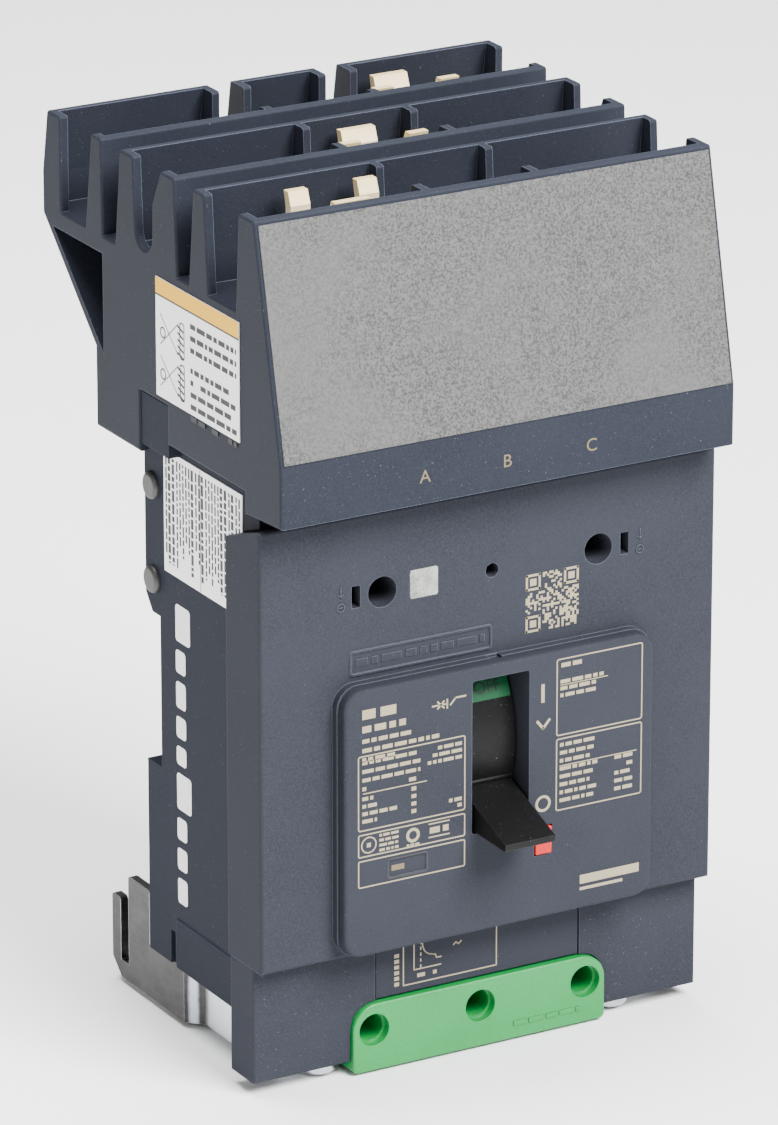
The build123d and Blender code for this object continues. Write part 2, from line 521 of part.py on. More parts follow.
def make_jaw(x, middle, blade_side):
    """Wide blade on one side of the bus bar, two fingers on the other, on a common base."""
    inner = BUS_THICKNESS / 2 - 0.05
    outer = inner + JAW_SHEET
    with BuildPart(BENCH) as jaw:
        block((x - 10.8, x + 10.8), (middle - outer, middle + outer), JAW_BASE)
        for face, spans, top in ((blade_side, [(x - 5.2, x + 3.4)], 195.6),
                                 (-blade_side, [(x - 10.8, x - 6.0), (x + 6.0, x + 10.8)], 196.2)):
            near, far = middle + face * inner, middle + face * outer
            flare = middle + face * (outer + 0.9)
            outline = [(near, JAW_BASE[0]), (near, top - 3.0), (near + face * 1.2, top), (flare, top),
                       (far, top - 3.6), (far, JAW_BASE[0])]
            for span in spans:
                profile(outline, span)
    return jaw


def make_jaw_spring(x, middle, blade_side):
    """Steel clip round the fingers, below the slot's floor."""
    outer = BUS_THICKNESS / 2 - 0.05 + JAW_SHEET
    low, high = 171.4, 173.0
    with BuildPart(BENCH) as spring:
        block((x - 11.0, x + 11.0), (middle - outer - 0.8, middle + outer + 0.8), (low, high))
        block((x - 10.9, x + 10.9), (middle - outer, middle + outer), (low - 1, high + 1), mode=Mode.SUBTRACT)
    return spring


def make_line_strap(x, middle):
    """Copper strap from the jaw's base to the fixed contact, with its contact pad."""
    depth = sum(LINE_STRAP_DEPTH) / 2
    with BuildPart(BENCH) as strap:
        if abs(middle - depth) < 5:
            block((x - 5, x + 5), (depth - 1, depth + 1), (98.0, JAW_BASE[0]))
        else:
            points = [(middle, JAW_BASE[0]), (middle, 152.0), (depth, 141.0), (depth, 98.0)]
            if middle > depth:
                points = [(middle, JAW_BASE[0]), (middle, 165.5), (depth, 150.0), (depth, 98.0)]
            strip(points, 1.2, 2.0, (x - 5, x + 5))
        block((x - 4, x + 4), (LINE_STRAP_DEPTH[0] - 1.6, LINE_STRAP_DEPTH[0]), (99.0, 107.0))
    return strap


def make_arc_chute(x):
    """Nine splitter plates between two insulating cheeks."""
    with BuildPart(BENCH) as chute:
        for side in (-1, 1):
            block(sorted((x + side * 9.6, x + side * 11.0)), (24, 50), (109, 126))
        for plate in range(9):
            front = 25.0 + plate * 2.9
            block((x - 9.6, x + 9.6), (front, front + 1.2), (110, 125))
    return chute


CONTACT_SWING = 26.0


def make_moving_contact(x):
    """Contact arm on the shaft, drawn in the open position."""
    closed = [(40.6, 79.0), (45.4, 79.0), (49.2, 99.0), (48.8, 107.0), (45.6, 107.0)]
    pad = [(48.9, 99.6), (51.1, 99.6), (51.1, 106.4), (48.6, 106.4)]
    with BuildPart(BENCH) as arm:
        profile([turned(p, SHAFT, -CONTACT_SWING) for p in closed], (x - 3.5, x + 3.5))
        profile([turned(p, SHAFT, -CONTACT_SWING) for p in pad], (x - 3.5, x + 3.5))
        bar_across(SHAFT[0], SHAFT[1], 7.0, (x - 3.5, x + 3.5))
        bar_across(SHAFT[0], SHAFT[1], SHAFT_RADIUS, (x - 4, x + 4), mode=Mode.SUBTRACT)
    return arm


def make_load_strap(x):
    """Copper strap from beside the shaft down to the lug, with a foot for the bimetal."""
    with BuildPart(BENCH) as strap:
        block((x - 5, x + 5), LOAD_STRAP_DEPTH, (2.5, 66))
    return strap


def make_bimetal(x):
    """Bimetal strip on its foot, in front of the strap."""
    with BuildPart(BENCH) as bimetal:
        block((x - 4, x + 4), (43.0, 44.2), (28, 58))
        block((x - 4, x + 4), (44.2, LOAD_STRAP_DEPTH[0]), (28, 32))
    return bimetal


def make_magnet_yoke(x):
    """Steel U round the strap, open to the front."""
    with BuildPart(BENCH) as yoke:
        block((x - 7.5, x + 7.5), (41.5, 51.5), (40, 53))
        block((x - 5.7, x + 5.7), (41, 49.7), (39, 54), mode=Mode.SUBTRACT)
    return yoke


def make_lug(x):
    """Box lug with a wire bore from below and a threaded hole for the binding screw."""
    with BuildPart(BENCH) as lug:
        block((x - 8.2, x + 8.2), (19, LOAD_STRAP_DEPTH[0]), (0.8, 15.8))
        fillet(lug.edges().filter_by(Axis.Z), 1.5)
        bar_up(x, WIRE_DEPTH, WIRE_RADIUS, (0, 14), mode=Mode.SUBTRACT)
        bar_back(x, ACCESS_HEIGHT, LUG_SCREW_RADIUS + RUNNING, (18, WIRE_DEPTH), mode=Mode.SUBTRACT)
    return lug


def make_lug_screw(x):
    """Socket screw that binds the wire."""
    with BuildPart(BENCH) as screw:
        bar_back(x, ACCESS_HEIGHT, LUG_SCREW_RADIUS, (16.5, 28.2))
        with BuildSketch(front_view(20.5)) as socket:
            with Locations((x, ACCESS_HEIGHT)):
                RegularPolygon(2.5, 6)
        extrude(socket.sketch, amount=5, mode=Mode.SUBTRACT)
    return screw


for pole, pole_x in POLES.items():
    bus_depth = BUS_DEPTHS[pole]
    save(make_jaw(pole_x, bus_depth, BLADE_SIDE[pole]), f"line_jaw_{pole}")
    save(make_jaw_spring(pole_x, bus_depth, BLADE_SIDE[pole]), f"jaw_spring_{pole}")
    save(make_line_strap(pole_x, bus_depth), f"line_strap_{pole}")
    save(make_arc_chute(pole_x), f"arc_chute_{pole}")
    save(make_moving_contact(pole_x), f"moving_contact_{pole}")
    save(make_load_strap(pole_x), f"load_strap_{pole}")
    save(make_bimetal(pole_x), f"bimetal_{pole}")
    save(make_magnet_yoke(pole_x), f"magnet_yoke_{pole}")
    save(make_lug(pole_x), f"lug_{pole}")
    save(make_lug_screw(pole_x), f"lug_screw_{pole}")

with BuildPart(BENCH) as contact_crossbar:
    bar_across(SHAFT[0], SHAFT[1], SHAFT_RADIUS, (-38.6, 38.6))
save(contact_crossbar, "contact_crossbar")

# ---------------------------------------------------------------- operating mechanism
PLATE_X = (9.4, 10.8)
BARREL_HALF = WINDOW_HALF - 0.4
BARREL_SPAN = 58.0         # half angle of the dust shield, in degrees
BARREL_WALL = 2.0
LEVER_RADIUS = 48.3        # from the axis to the lever's tip
LEVER_HALF = 6.3
YOKE_X = (4.0, 5.2)


def on_circle(radius, angle):
    """(depth, height) at an angle above the horizontal, in front of the handle's axis."""
    return PIVOT[0] - radius * cos(radians(angle)), PIVOT[1] + radius * sin(radians(angle))


def sector(radius_in, radius_out, low, high, x, mode=Mode.ADD):
    """Ring sector about the handle's axis between two angles, from x[0] to x[1]."""
    middle = (low + high) / 2
    with BuildSketch(side_view(x[0])) as ring:
        with BuildLine():
            outer = [on_circle(radius_out, angle) for angle in (low, middle, high)]
            inner = [on_circle(radius_in, angle) for angle in (high, middle, low)]
            ThreePointArc(*outer)
            Line(outer[-1], inner[0])
            ThreePointArc(*inner)
            Line(inner[-1], outer[0])
        make_face()
    extrude(ring.sketch, amount=x[1] - x[0], mode=mode)


with BuildPart(BENCH) as toggle_handle:
    low_end, high_end = -OFF_ANGLE - BARREL_SPAN, -OFF_ANGLE + BARREL_SPAN
    sector(BARREL_RADIUS - BARREL_WALL, BARREL_RADIUS, low_end, high_end, (-BARREL_HALF, BARREL_HALF))
    for side in (-1, 1):
        wall = sorted((side * BARREL_HALF, side * (BARREL_HALF - 1.4)))
        sector(3.0, BARREL_RADIUS - 1, -OFF_ANGLE - 40, -OFF_ANGLE + 40, wall)
        bar_across(PIVOT[0], PIVOT[1], 4.5, wall)
        bar_across(PIVOT[0], PIVOT[1], PIN_RADIUS + RUNNING, wall, mode=Mode.SUBTRACT)
    # lever: a wedge whose upper face points at the axis
    tip_top = on_circle(LEVER_RADIUS, -OFF_ANGLE)
    lever = [on_circle(BARREL_RADIUS - 1, -OFF_ANGLE), tip_top, (tip_top[0] + 0.1, tip_top[1] - 1.5),
             (4.6, 52.7), on_circle(BARREL_RADIUS - 1, -OFF_ANGLE - 21)]
    with BuildSketch(side_view(-LEVER_HALF)) as lever_outline:
        with BuildLine():
            Polyline(*lever, close=True)
        make_face()
    extrude(lever_outline.sketch, amount=2 * LEVER_HALF)
    tip_edges = toggle_handle.edges().filter_by(Axis.X).sort_by(Axis.Y)[:2]
    fillet(tip_edges, 0.35)
save(toggle_handle, "toggle_handle")

with BuildPart(BENCH) as position_flag:
    sector(BARREL_RADIUS, BARREL_RADIUS + 0.15, 21.0, 33.0, (-6.4, 6.4))
save(position_flag, "position_flag")

with BuildPart(BENCH) as handle_yoke:
    for side in (-1, 1):
        arm = sorted((side * YOKE_X[0], side * YOKE_X[1]))
        sector(3.5, 20.0, -OFF_ANGLE - 9, -OFF_ANGLE + 9, arm)
        bar_across(PIVOT[0], PIVOT[1], 4.2, arm)
        bar_across(PIVOT[0], PIVOT[1], PIN_RADIUS + RUNNING, arm, mode=Mode.SUBTRACT)
    front = on_circle(17.5, -OFF_ANGLE)
    bar_across(front[0], front[1], 1.2, (-YOKE_X[1], YOKE_X[1]))
save(handle_yoke, "handle_yoke")

with BuildPart(BENCH) as main_springs:
    for x in (-1.7, 1.7):
        axis = Plane(origin=(x, PIVOT[0] - CASE_DEPTH, PIVOT[1] - MOUNT_HEIGHT),
                     z_dir=(0, -cos(radians(OFF_ANGLE)), -sin(radians(OFF_ANGLE))))
        with BuildSketch(axis.offset(3.0)) as coil:
            Circle(1.6)
            Circle(1.0, mode=Mode.SUBTRACT)
        extrude(coil.sketch, amount=13.0)
save(main_springs, "main_springs")

with BuildPart(BENCH) as handle_pins:
    for side in (-1, 1):
        bar_across(PIVOT[0], PIVOT[1], PIN_RADIUS, sorted((side * 3.8, side * PLATE_X[1])))
save(handle_pins, "handle_pins")

with BuildPart(BENCH) as mechanism_frame:
    for side in (-1, 1):
        plate_x = sorted((side * PLATE_X[0], side * PLATE_X[1]))
        profile([(16, 52), (32.6, 52), (32.6, 92), (16, 92), (12, 84), (12, 60)], plate_x)
        bar_across(PIVOT[0], PIVOT[1], PIN_RADIUS, plate_x, mode=Mode.SUBTRACT)
        for x, z in BOSSES:
            bar_back(x, z, 2.7, (10, 36), mode=Mode.SUBTRACT)
    block((-PLATE_X[0], PLATE_X[0]), (31.2, 32.6), (84, 92))
    block((-PLATE_X[0], PLATE_X[0]), (31.2, 32.6), (52, 55.5))
save(mechanism_frame, "mechanism_frame")

# ---------------------------------------------------------------- trip bar and its button
FINGER_FRONT = 33.6

with BuildPart(BENCH) as trip_bar:
    bar_across(TRIP_AXIS[0], TRIP_AXIS[1], TRIP_RADIUS, (-38.5, 38.5))
    block((BUTTON_X - 1.3, BUTTON_X + 0.6), (FINGER_FRONT, FINGER_FRONT + 1.6), (45.0, TRIP_AXIS[1]))
    for x in POLES.values():
        block((x - 1.5, x + 1.5), (TRIP_AXIS[0], 41.8), (TRIP_AXIS[1] - 6.0, TRIP_AXIS[1] - 4.4))
        block((x - 1.5, x + 1.5), (TRIP_AXIS[0] - 0.8, TRIP_AXIS[0] + 0.8),
              (TRIP_AXIS[1] - 6.0, TRIP_AXIS[1]))
save(trip_bar, "trip_bar")

with BuildPart(BENCH) as trip_button:
    panel((BUTTON_X - 2.05, BUTTON_X + 2.05), (BUTTON_Z - 3.2, BUTTON_Z + 3.2), (NOSE_FRONT - 0.4, -1.6), 0.3)
    fillet(trip_button.faces().sort_by(Axis.Y)[0].edges(), 0.25)
    block((BUTTON_X - 1.9, BUTTON_X + 2.8), (-1.6, -0.4), (BUTTON_Z - 4.2, BUTTON_Z + 4.2))
    block((BUTTON_X - 0.9, BUTTON_X + 0.6), (-0.4, FINGER_FRONT - 0.3), (BUTTON_Z - 0.9, BUTTON_Z + 0.6))
save(trip_button, "trip_button")

with BuildPart(BENCH) as trip_button_spring:
    bar_back(BUTTON_X, BUTTON_Z, 1.95, (-0.3, CASE_FRONT - 0.1))
    bar_back(BUTTON_X, BUTTON_Z, 1.45, (-1, CASE_FRONT + 1), mode=Mode.SUBTRACT)
save(trip_button_spring, "trip_button_spring")
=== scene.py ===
"""Finishes, printing, labels and stage for a three-pole molded case breaker."""

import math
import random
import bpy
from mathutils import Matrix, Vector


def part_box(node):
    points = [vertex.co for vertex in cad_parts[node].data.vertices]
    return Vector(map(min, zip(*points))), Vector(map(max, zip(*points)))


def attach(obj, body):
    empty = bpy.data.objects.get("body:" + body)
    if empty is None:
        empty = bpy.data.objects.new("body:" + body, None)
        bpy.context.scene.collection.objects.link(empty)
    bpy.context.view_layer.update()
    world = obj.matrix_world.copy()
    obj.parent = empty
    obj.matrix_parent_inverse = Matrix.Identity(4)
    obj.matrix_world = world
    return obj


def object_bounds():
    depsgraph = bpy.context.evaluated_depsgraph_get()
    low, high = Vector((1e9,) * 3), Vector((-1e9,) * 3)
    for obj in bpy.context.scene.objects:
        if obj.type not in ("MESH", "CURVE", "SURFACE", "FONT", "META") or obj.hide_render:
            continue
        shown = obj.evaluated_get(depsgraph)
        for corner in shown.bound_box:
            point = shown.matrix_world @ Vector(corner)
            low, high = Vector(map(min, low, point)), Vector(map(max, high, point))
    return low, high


bl_info = {
    "name": "Molded Case Breaker",
    "version": (1, 0, 0),
    "blender": (4, 5, 0),
    "location": "View3D > Sidebar > Breaker",
    "description": "Finishes and prints a plug-on molded case breaker and sets its stage",
    "category": "Object",
}

import bmesh
import bpy
from mathutils import Matrix, Vector

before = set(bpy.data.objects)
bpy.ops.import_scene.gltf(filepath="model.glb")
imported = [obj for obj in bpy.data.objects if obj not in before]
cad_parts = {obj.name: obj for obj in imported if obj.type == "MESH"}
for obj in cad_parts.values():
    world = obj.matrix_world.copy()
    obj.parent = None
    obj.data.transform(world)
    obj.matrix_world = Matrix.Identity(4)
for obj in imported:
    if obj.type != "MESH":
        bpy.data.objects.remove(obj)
CAD_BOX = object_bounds()

POLES = {"a": -27.0, "b": 0.0, "c": 27.0}
MM = 0.001
CASE_DEPTH, MOUNT_HEIGHT = 60.0, 64.0
PIVOT = (28.0, 70.0)        # depth and height of the handle's axis
FLAG_RADIUS, FLAG_TURN = 27.82, 27.0
RIB_RADIUS, RIB_TURN = 27.45, -18.2
CODE_CORNER, CODE_SIZE = (8.8, 94.5), 13.4
CAMERA_PLACE, CAMERA_FORWARD = (-0.7700, -1.3623, 0.6007), (0.4663, 0.8155, -0.3429)
CAMERA_REACH = 50.0
FLOOR_SIZE, FLOOR_DROP = 6.0, 0.0006
LIGHTS = (                  # name, place, size, and power as a part of the key light's
    ("key", (0.35, -1.25, 1.35), (0.9, 0.9), 1.0),
    ("fill", (-1.45, -0.55, 0.75), (0.7, 0.9), 0.06),
    ("top", (-0.10, 0.20, 1.50), (0.9, 0.7), 0.42),
)
FONT_CAP = 0.73             # height of a capital as a part of the font's size
NOSE_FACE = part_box("escutcheon")[0].y / MM + CASE_DEPTH
LOWEST = CAD_BOX[0][2]


def at(x, depth, height):
    """Point given in millimetres from the middle, behind the cover's face and above the foot."""
    return Vector((x * MM, (depth - CASE_DEPTH) * MM, (height - MOUNT_HEIGHT) * MM))


def round_pivot(x, reach, angle):
    """Point at a reach in millimetres from the handle's axis, turned upwards from the front."""
    return at(x, PIVOT[0] - reach * math.cos(angle), PIVOT[1] + reach * math.sin(angle))


# ------------------------------------------------------------------ shader building
class Wire:
    """An output socket that can be written into sums."""

    def __init__(self, graph, socket):
        self.graph = graph
        self.socket = socket

    def maths(self, operation, *values):
        names = {index: value for index, value in enumerate(values)}
        return self.graph.node("ShaderNodeMath", {"operation": operation}, names)

    def __add__(self, other):
        return self.maths("ADD", self, other)

    def __rsub__(self, other):
        return self.maths("SUBTRACT", other, self)

    def __mul__(self, other):
        return self.maths("MULTIPLY", self, other)

    __radd__ = __add__
    __rmul__ = __mul__

    def ramp(self, low, high):
        """0 at low, 1 at high, held at both ends."""
        settings = {"interpolation_type": "SMOOTHSTEP"}
        values = {"Value": self, "From Min": low, "From Max": high}
        return self.graph.node("ShaderNodeMapRange", settings, values)


class Finish:
    """One material, built node by node."""

    def __init__(self, name):
        self.material = bpy.data.materials.new(name)
        self.material.use_nodes = True
        self.tree = self.material.node_tree
        self.tree.nodes.clear()
        self.place = self.node("ShaderNodeTexCoord", {}, {}, "Object")

    def node(self, kind, settings, values, output=0):
        made = self.tree.nodes.new(kind)
        for key, value in settings.items():
            setattr(made, key, value)
        for key, value in values.items():
            if isinstance(value, Wire):
                self.tree.links.new(value.socket, made.inputs[key])
            else:
                made.inputs[key].default_value = value
        return None if output is None else Wire(self, made.outputs[output])

    def noise(self, scale, detail=3.0, roughness=0.55, stretch=None):
        place = self.place
        if stretch:
            place = self.node("ShaderNodeMapping", {}, {"Vector": place, "Scale": stretch})
        values = {"Vector": place, "Scale": scale, "Detail": detail, "Roughness": roughness}
        return self.node("ShaderNodeTexNoise", {}, values)

    def axis(self, name):
        return self.node("ShaderNodeSeparateXYZ", {}, {"Vector": self.place}, name)

    def mix(self, factor, first, second):
        """Colour between two colours or colour wires."""
        return self.node("ShaderNodeMix", {"data_type": "RGBA"}, {0: factor, 6: first, 7: second}, 2)

    def edges(self, radius):
        """Painted highlight mask: 1 on sharp edges, concave ones as well, 0 on the flats."""
        rounded = self.node("ShaderNodeBevel", {"samples": 4}, {"Radius": radius})
        flat = self.node("ShaderNodeNewGeometry", {}, {}, "True Normal")
        same = self.node("ShaderNodeVectorMath", {"operation": "DOT_PRODUCT"}, {0: rounded, 1: flat}, "Value")
        return (1.0 - same).ramp(0.01, 0.16)

    def relief(self, height, distance, strength=1.0, radius=None):
        """Bumped normal; a radius rounds the sharp edges as well."""
        values = {"Height": height, "Distance": distance, "Strength": strength}
        if radius:
            values["Normal"] = self.node("ShaderNodeBevel", {"samples": 4}, {"Radius": radius})
        return self.node("ShaderNodeBump", {}, values)

    def done(self, **sockets):
        values = {key.replace("_", " "): value for key, value in sockets.items()}
        shader = self.node("ShaderNodeBsdfPrincipled", {}, values)
        self.node("ShaderNodeOutputMaterial", {}, {"Surface": shader}, None)
        return self.material


def shade(colour, factor):
    return tuple(part * factor for part in colour[:3]) + (1.0,)


def moulded(name, colour, grain=0.35, roughness=0.5, depth=0.02, gloss_edge=0.25, streak=0.0, sheen=0.3,
            edge_highlight=0.0):
    """Fine spark-eroded texture with soft cloudiness, pale dust specks, rounded edges and painted highlights
    on the sharp edges.
    """
    f = Finish(name)
    fine = f.noise(1 / (grain * MM), 4.0, 0.65)
    cloud = f.noise(38.0, 3.0)
    flow = f.noise(14.0, 2.0, 0.5, (1.0, 1.0, 3.0))
    dust = f.noise(2600.0, 2.0).ramp(0.70, 0.78) * 0.30
    base = f.mix(fine.ramp(0.30, 0.72), shade(colour, 0.80), shade(colour, 1.22))
    base = f.mix(cloud.ramp(0.35, 0.70) * 0.5, base, shade(colour, 1.16))
    base = f.mix(dust, base, shade((0.42, 0.43, 0.46), 1.0))
    if streak:
        base = f.mix(flow.ramp(0.45, 0.75) * streak, base, shade(colour, 1.5))
    # Painted highlight: sharp edges, concave ones too, are lightened in the colour as if they caught the
    # light.
    base = f.mix(f.edges(0.30 * MM) * edge_highlight, base, shade(colour, 7.0))
    rough = roughness - 0.07 + fine * 0.10 + cloud * 0.06
    normal = f.relief(fine + cloud * 0.5, depth * MM, 0.55, gloss_edge * MM)
    return f.done(Base_Color=base, Roughness=rough, Normal=normal, Specular_IOR_Level=sheen)


def brushed(name, colour, roughness, stretch, depth=0.006, stain=None, metallic=1.0):
    """Drawn or rolled metal: fine lines one way, cloudy plating and a few dull stains."""
    f = Finish(name)
    lines = f.noise(420.0, 4.0, 0.7, stretch)
    cloud = f.noise(60.0, 3.0)
    speck = f.noise(900.0, 2.0).ramp(0.66, 0.80)
    base = f.mix(lines.ramp(0.25, 0.75), shade(colour, 0.82), shade(colour, 1.1))
    base = f.mix(cloud.ramp(0.45, 0.75) * 0.6, base, stain or shade(colour, 0.7))
    rough = roughness - 0.08 + lines * 0.12 + speck * 0.15 + cloud * 0.08
    normal = f.relief(lines + speck * 0.4, depth * MM, 0.6, 0.15 * MM)
    return f.done(Base_Color=base, Roughness=rough, Metallic=metallic, Normal=normal)


def bracket_steel():
    """Zinc-plated sheet: painted dark reflection on the rear cheek with mottled tone, a painted bright
    reflection on the front strip and a painted highlight streak on the bend.
    """
    f = Finish("bracket_steel")
    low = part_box("mounting_bracket")[0].y
    depth = f.axis("Y")
    roll = f.noise(420.0, 4.0, 0.7, (0.3, 0.3, 5.0))
    stain = f.noise(130.0, 5.0, 0.65)
    spot = f.noise(700.0, 2.0).ramp(0.68, 0.80)
    # Painted reflection: the front strip is coloured near-white as if it mirrored the light.
    painted_reflection_strip = (depth + stain * 0.0015).ramp(low + 0.0362, low + 0.0345)
    # Painted highlight: a pale bluish streak along the bend.
    streak = (depth + stain * 0.0010).ramp(low + 0.0388, low + 0.0380)
    streak = streak * (depth + stain * 0.0010).ramp(low + 0.0366, low + 0.0373)
    # Partly mottled tone, partly painted dark reflection: the very dark base colours of the rear cheek.
    base = f.mix(stain.ramp(0.35, 0.70), (0.024, 0.022, 0.022, 1), (0.060, 0.057, 0.056, 1))
    base = f.mix(roll.ramp(0.3, 0.75) * 0.45, base, (0.085, 0.084, 0.086, 1))
    base = f.mix(spot * 0.5, base, (0.17, 0.17, 0.17, 1))
    base = f.mix(streak * 0.8, base, (0.60, 0.64, 0.72, 1))
    base = f.mix(painted_reflection_strip, base, (0.88, 0.93, 0.95, 1))
    # Painted highlight on the sharp edges.
    base = f.mix(f.edges(0.25 * MM) * 0.8, base, (0.80, 0.82, 0.86, 1))
    rough = 0.26 + roll * 0.12 + stain * 0.12 + spot * 0.1
    normal = f.relief(roll + stain, 0.012 * MM, 0.5, 0.35 * MM)
    return f.done(Base_Color=base, Roughness=rough, Metallic=0.85, Normal=normal)


def ink(name, colour, roughness=0.55, wear=0.35):
    """Pad-printed ink, slightly thin in places."""
    f = Finish(name)
    fine = f.noise(3200.0, 3.0)
    thin = f.noise(900.0, 2.0).ramp(0.55, 0.8) * wear
    base = f.mix(thin, shade(colour, 1.0), shade(colour, 0.6))
    base = f.mix(fine.ramp(0.3, 0.7) * 0.4, base, shade(colour, 0.82))
    return f.done(Base_Color=base, Roughness=roughness + fine * 0.1, Normal=f.relief(fine, 0.004 * MM))


def speckled_film():
    """Grey film label with dense light and dark specks and a faint lengthwise sheen."""
    f = Finish("label_film")
    speck = f.noise(1900.0, 3.0, 0.6)
    grit = f.noise(4200.0, 2.0, 0.7)
    cloud = f.noise(30.0, 3.0, 0.6)
    wave = f.noise(11.0, 2.0, 0.5, (1.0, 0.3, 0.3))
    density = speck.ramp(0.38, 0.60)
    base = f.mix(density, (0.027, 0.027, 0.027, 1), (0.096, 0.096, 0.094, 1))
    base = f.mix(cloud.ramp(0.42, 0.66) * 0.62, base, (0.086, 0.086, 0.085, 1))
    base = f.mix(grit.ramp(0.35, 0.7) * 0.30, base, (0.048, 0.048, 0.048, 1))
    base = f.mix(wave.ramp(0.5, 0.8) * 0.35, base, (0.115, 0.115, 0.113, 1))
    rough = 0.40 + density * 0.15 + grit * 0.08
    return f.done(Base_Color=base, Roughness=rough, Normal=f.relief(speck + grit * 0.4, 0.008 * MM, 0.5))


def paper():
    """Coated white label stock, faintly mottled with fibre and greyer clouds."""
    f = Finish("label_stock")
    fibre = f.noise(1800.0, 4.0, 0.7)
    cloud = f.noise(70.0, 3.0)
    base = f.mix(fibre.ramp(0.3, 0.7) * 0.5, (0.93, 0.93, 0.92, 1), (0.87, 0.87, 0.87, 1))
    base = f.mix(cloud.ramp(0.5, 0.8) * 0.3, base, (0.84, 0.85, 0.87, 1))
    return f.done(Base_Color=base, Roughness=0.38 + fibre * 0.12, Normal=f.relief(fibre, 0.003 * MM, 0.4))


def tinned_jaw():
    """Tin-plated copper under a film of joint compound, browner and golden towards the tips."""
    f = Finish("jaw_tin")
    height = f.axis("Z")
    smear = f.noise(160.0, 4.0, 0.6, (1.0, 1.0, 2.2))
    grain = f.noise(1500.0, 3.0)
    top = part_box("line_jaw_a")[1].z
    tip = (height + smear * 0.006).ramp(top - 0.006, top + 0.004)
    base = f.mix(smear.ramp(0.35, 0.7), (0.80, 0.72, 0.50, 1), (0.86, 0.82, 0.68, 1))
    base = f.mix(grain.ramp(0.5, 0.75) * 0.5, base, (0.62, 0.52, 0.34, 1))
    base = f.mix(tip * 0.75, base, (0.66, 0.47, 0.18, 1))
    rough = 0.34 + smear * 0.18 + grain * 0.1
    normal = f.relief(smear + grain * 0.4, 0.05 * MM, 0.6, 0.2 * MM)
    return f.done(Base_Color=base, Roughness=rough, Metallic=0.35, Normal=normal)


def smoky_lens():
    """Grey translucent window with a cloudy tone."""
    f = Finish("lens_smoke")
    cloud = f.noise(240.0, 3.0)
    fine = f.noise(2400.0, 3.0)
    base = f.mix(cloud.ramp(0.3, 0.7), (0.10, 0.10, 0.095, 1), (0.26, 0.26, 0.245, 1))
    base = f.mix(fine.ramp(0.4, 0.7) * 0.3, base, (0.42, 0.42, 0.40, 1))
    normal = f.relief(fine, 0.006 * MM, 0.4, 0.25 * MM)
    return f.done(Base_Color=base, Roughness=0.18 + fine * 0.1, Coat_Weight=0.4, Normal=normal)


def green_plate():
    """Satin green moulding with fine grain and slightly darker flow clouds."""
    f = Finish("terminal_green")
    fine = f.noise(2200.0, 3.0, 0.6)
    cloud = f.noise(55.0, 3.0)
    base = f.mix(fine.ramp(0.3, 0.7), (0.000, 0.185, 0.032, 1), (0.000, 0.240, 0.046, 1))
    base = f.mix(cloud.ramp(0.4, 0.7) * 0.4, base, (0.0, 0.170, 0.030, 1))
    normal = f.relief(fine + cloud, 0.015 * MM, 0.45, 0.3 * MM)
    return f.done(Base_Color=base, Roughness=0.34 + fine * 0.12, Normal=normal)


FINISHES = {}


def make_finishes(plastics):
    case, cover = plastics.case_colour, plastics.cover_colour
    FINISHES.update({
        "case": moulded("case_plastic", case, plastics.grain / MM, 0.46, 0.016, 0.25,
                        sheen=0.02, edge_highlight=0.35),
        "fins": moulded("fin_plastic", case, plastics.grain / MM, 0.36, 0.012, 0.35, 0.15,
                        0.03, 1.0),
        "cover": moulded("cover_plastic", cover, plastics.grain / MM, 0.50, 0.020, 0.35,
                         sheen=0.02, edge_highlight=0.45),
        "insulator": moulded("insulator", (0.16, 0.14, 0.12), 0.4, 0.55),
        "handle": moulded("handle_black", plastics.handle_colour, 0.5, 0.40, 0.014, 0.35,
                          sheen=0.12, edge_highlight=0.5),
        "fibre": moulded("arc_fibre", (0.34, 0.30, 0.24), 0.8, 0.7, 0.03),
        "button": moulded("button_red", (0.44, 0.002, 0.001), 0.4, 0.34, 0.006, 0.2),
        "flag": moulded("flag_green", (0.003, 0.075, 0.026), 0.4, 0.40, 0.005, 0.1),
        "rivet": brushed("rivet_dark", (0.055, 0.052, 0.052, 1), 0.42, (1, 1, 1), 0.01, metallic=0.4),
        "zinc": brushed("zinc_steel", (0.55, 0.57, 0.60, 1), 0.24, (0.3, 6.0, 0.3),
                        stain=(0.20, 0.205, 0.22, 1)),
        "bracket": bracket_steel(),
        "steel": brushed("plain_steel", (0.42, 0.42, 0.42, 1), 0.38, (0.3, 0.3, 6.0)),
        "copper": brushed("copper", (0.80, 0.42, 0.25, 1), 0.32, (0.3, 0.3, 5.0),
                          stain=(0.30, 0.17, 0.11, 1)),
        "lug": brushed("lug_aluminium", (0.66, 0.67, 0.68, 1), 0.36, (0.3, 0.3, 5.0)),
        "film": speckled_film(),
        "paper": paper(),
        "jaw": tinned_jaw(),
        "lens": smoky_lens(),
        "green": green_plate(),
        "cream": ink("ink_cream", (0.285, 0.240, 0.155)),
        "gold": ink("ink_gold", (0.135, 0.098, 0.052)),
        "white": ink("ink_white", (0.82, 0.82, 0.82)),
        "dark": ink("ink_dark", (0.012, 0.013, 0.016)),
        "yellow": ink("ink_yellow", (0.86, 0.46, 0.0), wear=0.1),
    })


def give(finish, *nodes):
    """Put a finish on CAD nodes."""
    for node in nodes:
        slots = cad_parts[node].material_slots
        if not slots:
            raise RuntimeError(f"node {node} has no material slot")
        for slot in slots:
            slot.material = FINISHES[finish]


def by_pole(*stems):
    return [f"{stem}_{pole}" for stem in stems for pole in POLES]


